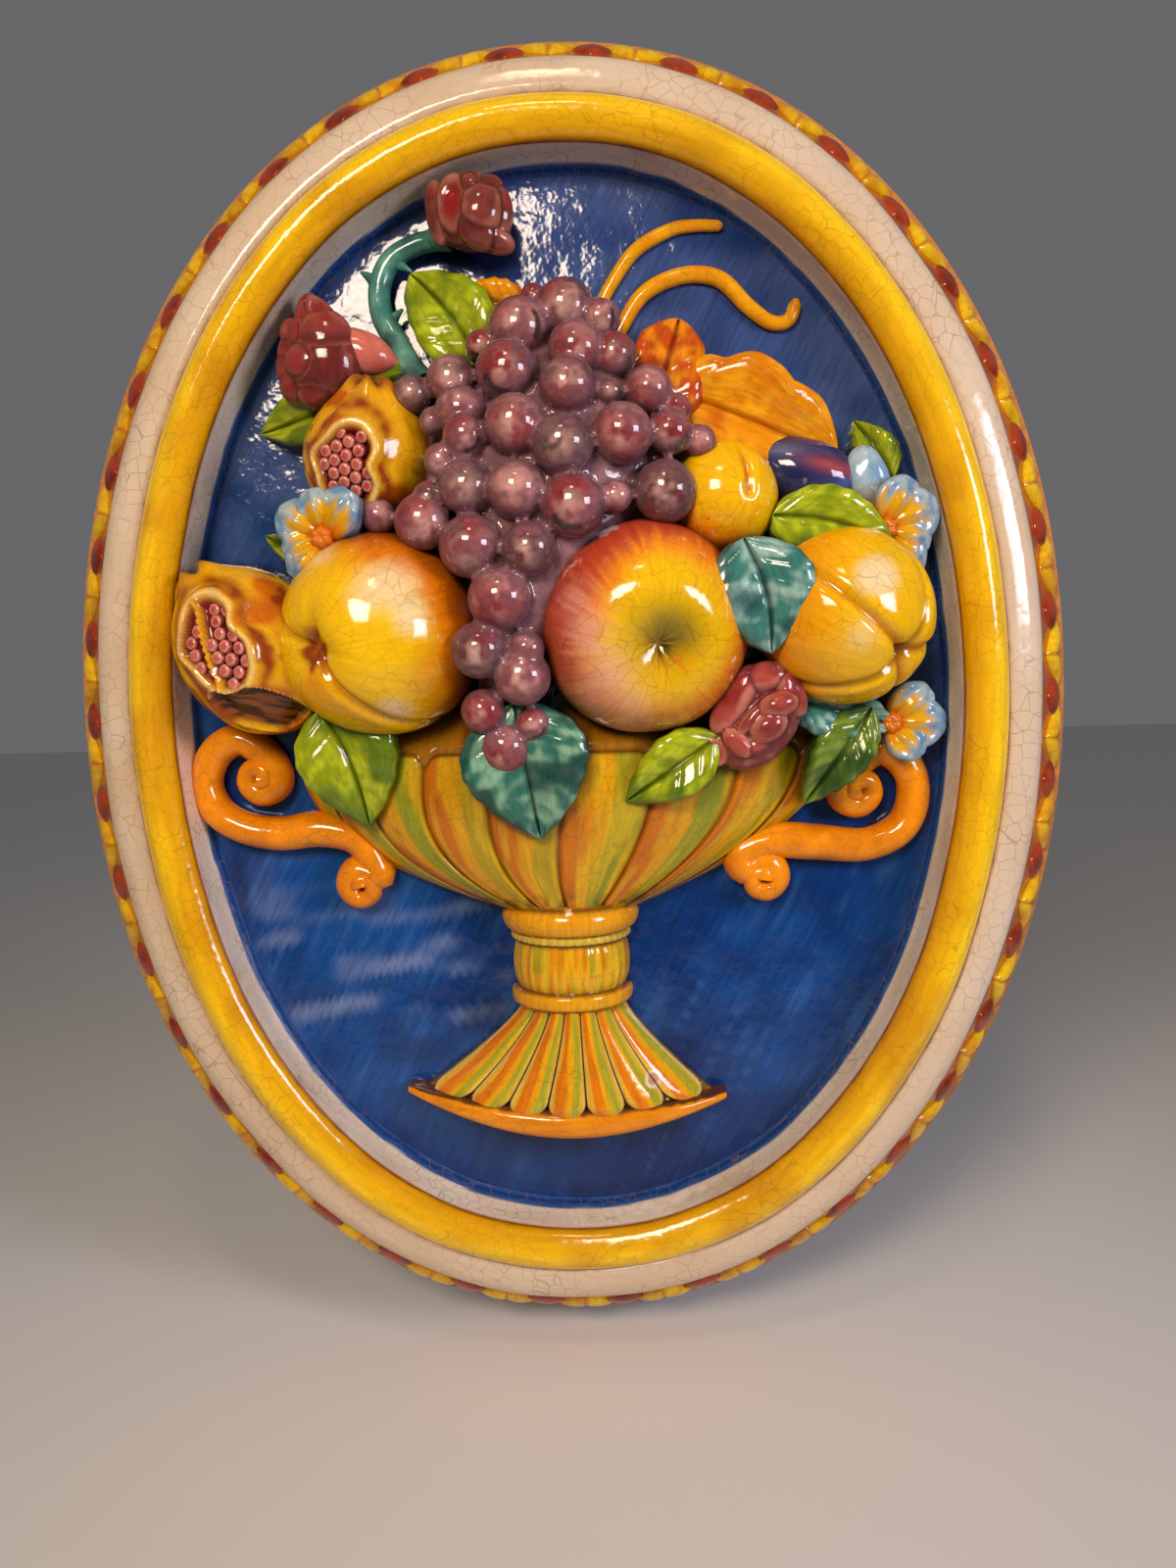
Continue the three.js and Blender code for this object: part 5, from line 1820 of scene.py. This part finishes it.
# ---- roses and small flowers
@dataclass
class Roses(SubAssembly):
    """Half-open roses of wrapped petals, and the thorny stem of one."""

    voxel: float = 0.68
    top: tuple[Lump, ...] = (
        Lump((-30, 186.5, 31), (13, 12), thick=8),
        Lump((-42.6, 188.5, 31), (4.6, 12.5), -8, (-0.7, 0), 0.1, 5),
        Lump((-35.8, 190, 35), (6.6, 11.5), -4, (-0.3, 0.1), 0.7, 6),
        Lump((-29.4, 195.4, 34), (5.6, 6.6), 0, (0, 0.4), 0.0, 6),
        Lump((-23.6, 194.4, 33), (5.6, 7.6), 30, (0.3, 0.5), 0.3, 6),
        Lump((-25.6, 187.4, 36.5), (8.6, 9.6), 14, (0.15, 0.1), 0.0, 6),
        Lump((-19.4, 187.6, 33), (5.0, 9.0), -6, (0.5, 0), 0.1, 6),
        Lump((-28.2, 180.6, 35), (6.4, 9.6), -50, (-0.1, -0.3), 0.0, 6),
        Lump((-24.4, 178.6, 34), (5.4, 11.4), -60, (0.1, -0.6), 0.1, 5),
    )
    left: tuple[Lump, ...] = (
        Lump((-86.5, 133.5, 34), (14, 15), 0, (0, -0.1), 0.0, 11),
        Lump((-86, 143, 36), (10.5, 11), -30, (0.1, 0.2), 0.0, 8),
        Lump((-93.4, 150, 33), (4.8, 11.5), 4, (-0.4, 0.2), 0.1, 6),
        Lump((-86.5, 149.5, 34), (5.6, 12), -34, (0.4, 0.3), 0.5, 6),
        Lump((-99.4, 146.6, 33), (4.6, 5.4), 0, (-0.4, 0.3), 0.25, 5),
        Lump((-95.4, 144.5, 36), (4.0, 7.6), -8, (-0.2, 0.2), 0.0, 5),
        Lump((-100.6, 139.6, 33), (5.2, 6), 20, (-0.6, 0.1), 0.4, 5),
        Lump((-101.4, 133.5, 33), (4.6, 7.4), -5, (-0.6, 0), 0.1, 5),
        Lump((-94, 134.6, 40), (7.0, 6.4), -30, (-0.2, 0.1), 0.1, 5),
        Lump((-98.6, 127.4, 33), (6.4, 7.4), 25, (-0.4, -0.3), 0.0, 6),
        Lump((-89, 124.6, 35), (9.0, 6.6), -10, (0, -0.5), 0.0, 7),
    )
    pink: tuple[Lump, ...] = (
        Lump((71.5, -4, 47), (15, 20), 38, (0, 0), 0.0, 9),
        Lump((63.6, 4.4, 52), (6.0, 15), 36, (-0.5, 0.2), 0.15, 7),
        Lump((74, 12.4, 52), (5.6, 10.5), 76, (0, 0.5), 0.2, 7),
        Lump((83.4, 6.6, 51), (5.4, 10.5), 152, (0.5, 0.1), 0.2, 7),
        Lump((79, 2.2, 55.5), (4.8, 8.0), 72, (0.1, 0.2), 0.0, 6),
        Lump((75.2, -5.4, 55.5), (5.6, 7.6), 58, (0.1, 0), 0.0, 6),
        Lump((69.2, -2.6, 55), (2.6, 8.4), 42, (-0.1, 0.1), 0.0, 4),
        Lump((69.4, -12.6, 53), (3.6, 6.0), 62, (0, -0.4), 0.0, 5),
        Lump((64.2, -11.4, 54.5), (4.0, 7.0), 136, (-0.2, -0.2), 0.15, 5),
        Lump((55, -14.4, 50), (5.6, 6.8), 130, (-0.3, -0.2), 0.7, 6),
    )

    def bloom(self, name: str, petals: Sequence[Lump], tones: tuple[str, str, str, str]) -> None:
        """A rose of petals pressed round a core and run together.

        Args:
            name: the piece's name.
            petals: its core and its petals.
            tones: body, pale edge, red of the hollows and dark of the core.
        """
        obj = fused(name, [petal.build(self.ground) for petal in petals], self.voxel, 8)
        spots, *_ = self.places(obj)
        local = np.stack([petal.local(spots) for petal in petals])
        local[:, :, 2] = np.where(local[:, :, 2] < 0, local[:, :, 2] / 2, local[:, :, 2])
        reach = np.linalg.norm(local, axis=2)
        nearest = np.argmin(reach + 0.12 * (np.arange(len(petals)) == 0)[:, None], axis=0)
        own = local[nearest, np.arange(len(spots))]
        far = np.hypot(own[:, 0], own[:, 1])
        hollow = np.array([petal.hollow for petal in petals])[nearest]
        chance = np.random.default_rng(len(name)).random(len(petals))[nearest]
        body, edge, red, dark = tones
        haze = clouds(spots, 6, 2.6, 121, 0.5)
        tone = Paint(body, dark, 0.55 * smooth(0.4, 0.8, haze + 0.3 * (chance - 0.5)))
        tone.over(red, 0.6 * smooth(0.5, 0.8, grain(spots, 5, 126)))
        tone.over(edge, 0.6 * smooth(0.55, 1.0, far + 0.6 * (haze - 0.5)) * smooth(-0.2, 0.4, own[:, 2]))
        tone.over(red, 0.9 * smooth(0.3, 0.6, hollow) * smooth(0.7, 0.3, far + 0.3 * (haze - 0.5)))
        tone.over(dark, np.where(nearest == 0, 0.75, 0.0) * smooth(0.3, 0.6, 1 - haze + 0.2))
        crease = np.sort(reach, axis=0)[:2]
        near = bell(crease[1] - crease[0], 0.1) * smooth(0.8, 0.95, crease[0])
        tone.over(dark, 0.85 * np.maximum(near, smooth(1.25, 1.6, crease[0])))
        self.keep(obj, PETAL, tone, rows(own[:, 0] * 3, own[:, 1] * 1.2, own[:, 2]), 60)

    def stem(self) -> None:
        """The teal stem of the upper rose, with thorns and the calyx under the bloom."""
        line = flow([(-40, 183, 24), (-46, 182, 22), (-55, 180, 21), (-63, 175, 21), (-67.5, 166, 21),
                     (-67, 155, 22), (-62, 145, 24), (-56, 134, 29), (-50, 126, 34)], 120)
        share = np.linspace(0, 1, len(line))
        radius = 3.9 + 1.0 * share + 2.2 * bell(share, 0.06)
        parts = [new_strand(self.ground, "rose_stem", line, radius, 1.0, 22)]
        for share_at, side in ((0.3, 1), (0.62, 1), (0.42, -1)):
            i = int(share_at * (len(line) - 1))
            step = line[i + 1] - line[i - 1]
            away = np.array([-step[1], step[0], 0.0]) * side
            away /= np.linalg.norm(away)
            tip = line[i] + away * 8.5 + step / np.linalg.norm(step) * -2
            root = line[i] + away * 2
            thorn = flow([root, (root + tip) / 2 + np.array([0, 0, 0.5]), tip], 10)
            parts.append(new_strand(self.ground, "thorn", thorn, np.linspace(2.8, 0.5, 10), 1.0, 12))
        sepal = flow([(-46, 180, 24), (-40, 184, 29), (-36, 186, 30)], 14)
        fat = 5.6 * np.sin(np.linspace(0.5, 2.6, 14))
        parts.append(new_strand(self.ground, "sepal", sepal, fat, 0.9, 16))
        obj = joined("rose_stem", parts)
        spots, *_ = self.places(obj)
        haze = grain(spots, 5, 123)
        tone = Paint("2c6a62", "5c9a8a", haze)
        # Paler on the stem's raised parts: a painted highlight.
        tone.over("8cbca8", 0.6 * smooth(24, 30, spots[:, 2]) * haze)
        tone.over("16383e", 0.7 * smooth(0.6, 0.85, grain(spots, 8, 124)))
        self.keep(obj, LEAF, tone, spots / 3)

    def build(self) -> None:
        """Make the three roses, the cone calyx of the left one and the stem."""
        self.bloom("rose_top", self.top, ("7e3c34", "b87862", "8e1a1a", "4a1a18"))
        self.bloom("rose_left", self.left, ("8c3c36", "b4685a", "961c20", "5a2220"))
        cone = turned_ball(self.ground, "rose_left_calyx", (-76.5, 139, 32), (7.6, 8.6, 17.5), (1, -0.28, 0),
                           lambda p, t: 1 - 0.25 * smooth(1.2, 0, p) * np.sin(p), 80, 50)
        spots, *_ = self.places(cone)
        tone = Paint("b85248", "d8806c", grain(spots, 6, 125))
        self.keep(cone, PETAL, tone, spots / 4)
        self.bloom("rose_pink", self.pink, ("a84a40", "d48c74", "861a22", "541624"))
        self.stem()


@dataclass
class SmallFlowers(SubAssembly):
    """Small pale blue flowers with yellow throats, and one bud."""

    def flower(self, name: str, at: Sequence[float], reach: float, turns: Sequence[float],
               tilt: tuple[float, float] = (0.0, 0.0)) -> None:
        """Petals spread from a deep orange middle.

        Args:
            name: the piece's name.
            at: the middle (x, z, height).
            reach: length of a petal.
            turns: direction of each petal, in degrees clockwise from the top.
            tilt: how much the flower rises per millimetre to the right and upwards.
        """
        parts = []
        for k, turn in enumerate(turns):
            aim = np.array([math.sin(math.radians(turn)), math.cos(math.radians(turn))])
            side = np.array([aim[1], -aim[0]])
            long = reach * (1 + 0.12 * math.sin(2.1 * k))

            def surface(u: Array, v: Array, aim: Array = aim, side: Array = side,
                        long: float = long) -> Array:
                """Face of the petal, u across and v outwards."""
                across = 2 * u - 1
                half = long * 0.45 * np.sin(np.pi * np.clip(0.08 + 0.8 * v, 0, 1)) ** 0.85
                spot = aim * (v * long)[:, None] + side * (across * half)[:, None]
                ridge = 0.8 * np.cos(across * 7) + 0.9 * np.sin(9 * v) * np.abs(across) ** 2
                ridge = ridge * np.sin(np.pi * v)
                height = (at[2] - 3.5 + 7.5 * np.sin(np.pi * 0.75 * v) - 2.6 * across ** 4 + ridge
                          + tilt[0] * spot[:, 0] + tilt[1] * spot[:, 1])
                return rows(at[0] + spot[:, 0], at[1] + spot[:, 1], height)

            parts.append(new_raised(self.ground, name, 24, 24, surface, lip=1.0))
        heart = turned_ball(self.ground, name + "_heart", (at[0], at[1], at[2] - 1), (4.2, 4.2, 4), (0, 0, 1),
                            lambda p, t: 1 - 0.4 * bell(p, 0.4) + 0.08 * np.cos(6 * t) * np.sin(p), 40, 24)
        write_value(heart, "v", np.zeros(len(heart.data.vertices)))
        write_value(heart, "u", np.zeros(len(heart.data.vertices)))
        obj = joined(name, [*parts, heart])
        spots, *_ = self.places(obj)
        u, v = read_uv(obj)
        haze = clouds(spots, 5, 2.2, 131, 0.5)
        tone = Paint("5f8cae", "a4b8bc", smooth(0.25, 0.75, haze))
        ray = grain(rows(u * 9, v * 2, u * 0), 1.0, 134)
        throat = smooth(0.9, 0.45, v + 0.5 * (ray - 0.5) + 0.35 * np.abs(2 * u - 1) ** 1.5)
        tone.over("dca60c", throat)
        tone.over("d8700a", smooth(0.36, 0.08, v + 0.4 * (ray - 0.5)))
        tone.over("8a5a14", 0.4 * bell(2 * u - 1, 0.06) * smooth(0.8, 0.2, v))
        self.keep(obj, FRUIT, tone, rows(u * 8, v * 3, u * 0), 50)

    def build(self) -> None:
        """Make the flowers and the bud."""
        self.flower("flower_left", (-86, 67.5, 58), 18, (-12, -58, -108, -140, 36), (0.3, -0.1))
        self.flower("flower_upper_right", (121, 66, 44), 21, (30, 66, 104, 140), (-0.45, 0))
        self.flower("flower_lower_right", (125, -6.5, 35), 20, (52, 92, 138), (-0.3, 0))
        bud = turned_ball(self.ground, "flower_bud", (117, 85, 31), (8.5, 7.5, 13.5), (-0.25, 1, 0.1),
                          lambda p, t: 1 + 0.05 * np.cos(4 * t + 2 * p) * np.sin(p), 80, 50)
        spots, *_ = self.places(bud)
        haze = grain(spots, (3, 8, 3), 133)
        tone = Paint("6e9cc0", "bcd0d4", haze)
        tone.over("c8b49a", 0.6 * smooth(85, 76, spots[:, 1]))
        self.keep(bud, FRUIT, tone, spots / 3)


# ---- glaze that pools, and painted shade, in the hollows
@dataclass
class PooledGlazeAndShade:
    """How deep in a hollow each point lies: glaze runs thick there, and shade is painted there."""

    ground: Ground
    cell: float = 1.0
    margin: float = 24.0

    def relief_map(self, pieces: Sequence[Piece]) -> tuple[Array, Array]:
        """The highest surface over each cell of the face, and the face's lower left corner."""
        low = np.array([-self.ground.half_width, -self.ground.half_height]) - self.margin
        size = np.ceil(-2 * low / self.cell).astype(int)
        top = np.zeros(size)
        for piece in pieces:
            spots = self.ground.places(read_points(piece.obj))
            at = np.clip(((spots[:, :2] - low) / self.cell).astype(int), 0, size - 1)
            np.maximum.at(top, (at[:, 0], at[:, 1]), spots[:, 2])
        return top, low

    def softened(self, top: Array, reach: float) -> Array:
        """The map blurred over a reach in millimetres."""
        steps = [np.fft.fftfreq(n, d=self.cell) for n in top.shape]
        wave = np.exp(-2 * (np.pi * reach) ** 2 * (steps[0][:, None] ** 2 + steps[1][None, :] ** 2))
        return np.real(np.fft.ifft2(np.fft.fft2(top) * wave))

    def look_up(self, grid: Array, low: Array, spots: Array) -> Array:
        """Values of a map at places, blended between cells."""
        at = np.clip((spots[:, :2] - low) / self.cell - 0.5, 0, np.array(grid.shape) - 1.001)
        cell = at.astype(int)
        part = at - cell
        out = np.zeros(len(spots))
        for i in (0, 1):
            for k in (0, 1):
                weight = (part[:, 0] if i else 1 - part[:, 0]) * (part[:, 1] if k else 1 - part[:, 1])
                out += weight * grid[cell[:, 0] + i, cell[:, 1] + k]
        return out

    def spread(self, pieces: Sequence[Piece]) -> None:
        """Store on every piece how deep in a hollow each of its points lies."""
        top, low = self.relief_map(pieces)
        near, wide = self.softened(top, 2.2), self.softened(top, 6.0)
        for piece in pieces:
            spots = self.ground.places(read_points(piece.obj))
            if piece.slot == "bare_earthenware":
                write_value(piece.obj, "pool_and_shade", np.zeros(len(spots)))
                continue
            # The deeper a point lies below the relief round it, the darker it is painted: pooled glaze and
            # painted shade.
            deep = (self.look_up(near, low, spots) - spots[:, 2]) / 5.0
            far = (self.look_up(wide, low, spots) - spots[:, 2]) / 14.0
            value = np.clip(0.65 * smooth(0.05, 1.0, deep) + 0.6 * smooth(0.1, 1.0, far), 0, 1)
            write_value(piece.obj, "pool_and_shade", value)


# ---- studio
@dataclass
class Studio:
    """Pale floor, soft lights and the camera."""

    ground: Ground
    camera_place: tuple[float, float, float] = (20.5, 19.4, 489.5)
    lens: float = 27.0

    def camera(self) -> None:
        """Camera close in front of the plaque, slightly above its middle and a little rolled."""
        data = bpy.data.cameras.new("camera")
        data.lens, data.sensor_width, data.sensor_height = self.lens, 36.0, 36.0
        data.sensor_fit = "VERTICAL"
        data.clip_start = 0.02
        camera = bpy.data.objects.new("camera", data)
        right, up, back = (0.9993, 0.0253, -0.0276), (0.0249, 0.1030, 0.9944), (0.0280, -0.9944, 0.1023)
        turn = [[right[i], up[i], back[i]] for i in range(3)]
        place = self.ground.metres(np.array(self.camera_place))
        camera.matrix_world = Matrix.Translation(Vector(place)) @ Matrix(turn).to_4x4()
        bpy.context.scene.collection.objects.link(camera)
        bpy.context.scene.camera = camera

    def lamp(self, name: str, place: Sequence[float], aim: Sequence[float], size: tuple[float, float],
             power: float, tint: str, spread: float) -> None:
        """A rectangular soft light at a place (x, z, height), in millimetres, aimed at another."""
        data = bpy.data.lights.new(name, "AREA")
        data.shape = "RECTANGLE"
        data.size, data.size_y = size
        data.energy = power
        data.color = srgb(tint)
        data.spread = math.radians(spread)
        lamp = bpy.data.objects.new(name, data)
        spot, target = Vector(self.ground.metres(np.array(place))), Vector(self.ground.metres(np.array(aim)))
        lamp.location = spot
        lamp.rotation_euler = (target - spot).to_track_quat("-Z", "Y").to_euler()
        bpy.context.scene.collection.objects.link(lamp)

    def build(self) -> None:
        """Set up the floor, the lights, the surrounding light and the camera."""
        floor_drop = 0.012
        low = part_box(NODE)[0][2] - floor_drop
        bpy.ops.mesh.primitive_plane_add(size=8, location=(0, 0, low))
        floor = bpy.context.active_object
        floor.name = "floor"
        paper = bpy.data.materials.new("pale_paper")
        paper.use_nodes = True
        paper.node_tree.nodes["Principled BSDF"].inputs["Base Color"].default_value = (*srgb("e4e2de"), 1)
        paper.node_tree.nodes["Principled BSDF"].inputs["Roughness"].default_value = 0.8
        floor.data.materials.append(paper)
        self.lamp("key", (-240, 470, 960), (0, -10, 20), (0.34, 0.28), 1.75, "ffe8d0", 80)
        self.lamp("top", (-40, 900, 640), (0, 20, 20), (0.14, 0.12), 0.2, "ffe0bc", 80)
        self.lamp("side", (760, 220, 640), (0, -20, 20), (0.3, 0.3), 1.05, "f0ecff", 80)
        world = bpy.data.worlds.new("studio")
        world.use_nodes = True
        world.node_tree.nodes["Background"].inputs["Color"].default_value = (*srgb("d8d8dc"), 1)
        world.node_tree.nodes["Background"].inputs["Strength"].default_value = 0.2
        bpy.context.scene.world = world
        bpy.context.scene.view_settings.view_transform = "Standard"
        self.camera()


# ---- the whole plaque
def main() -> None:
    """Build the plaque's looks around the frame."""
    logging.basicConfig(level=logging.INFO, format="%(name)s: %(message)s")
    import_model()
    ground = Ground.from_frame()
    Studio(ground).build()
    groups: list[SubAssembly] = [OvalBody(ground), Garland(ground), FootedBowl(ground), Fruit(ground),
                                 Pomegranates(ground), Grapes(ground), Leaves(ground), Roses(ground),
                                 SmallFlowers(ground)]
    for group in groups:
        group.build()
    pieces = [piece for group in groups for piece in group.pieces]
    PooledGlazeAndShade(ground).spread(pieces)
    materials: dict[str, bpy.types.Material] = {}
    for piece in pieces:
        piece.dress(materials)
        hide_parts(NODE)
        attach(piece.obj, "root")
    triangles = sum(len(p.vertices) - 2 for piece in pieces for p in piece.obj.data.polygons)
    log.info("%d pieces, %d triangles", len(pieces), triangles)


if __name__ == "__main__":
    main()
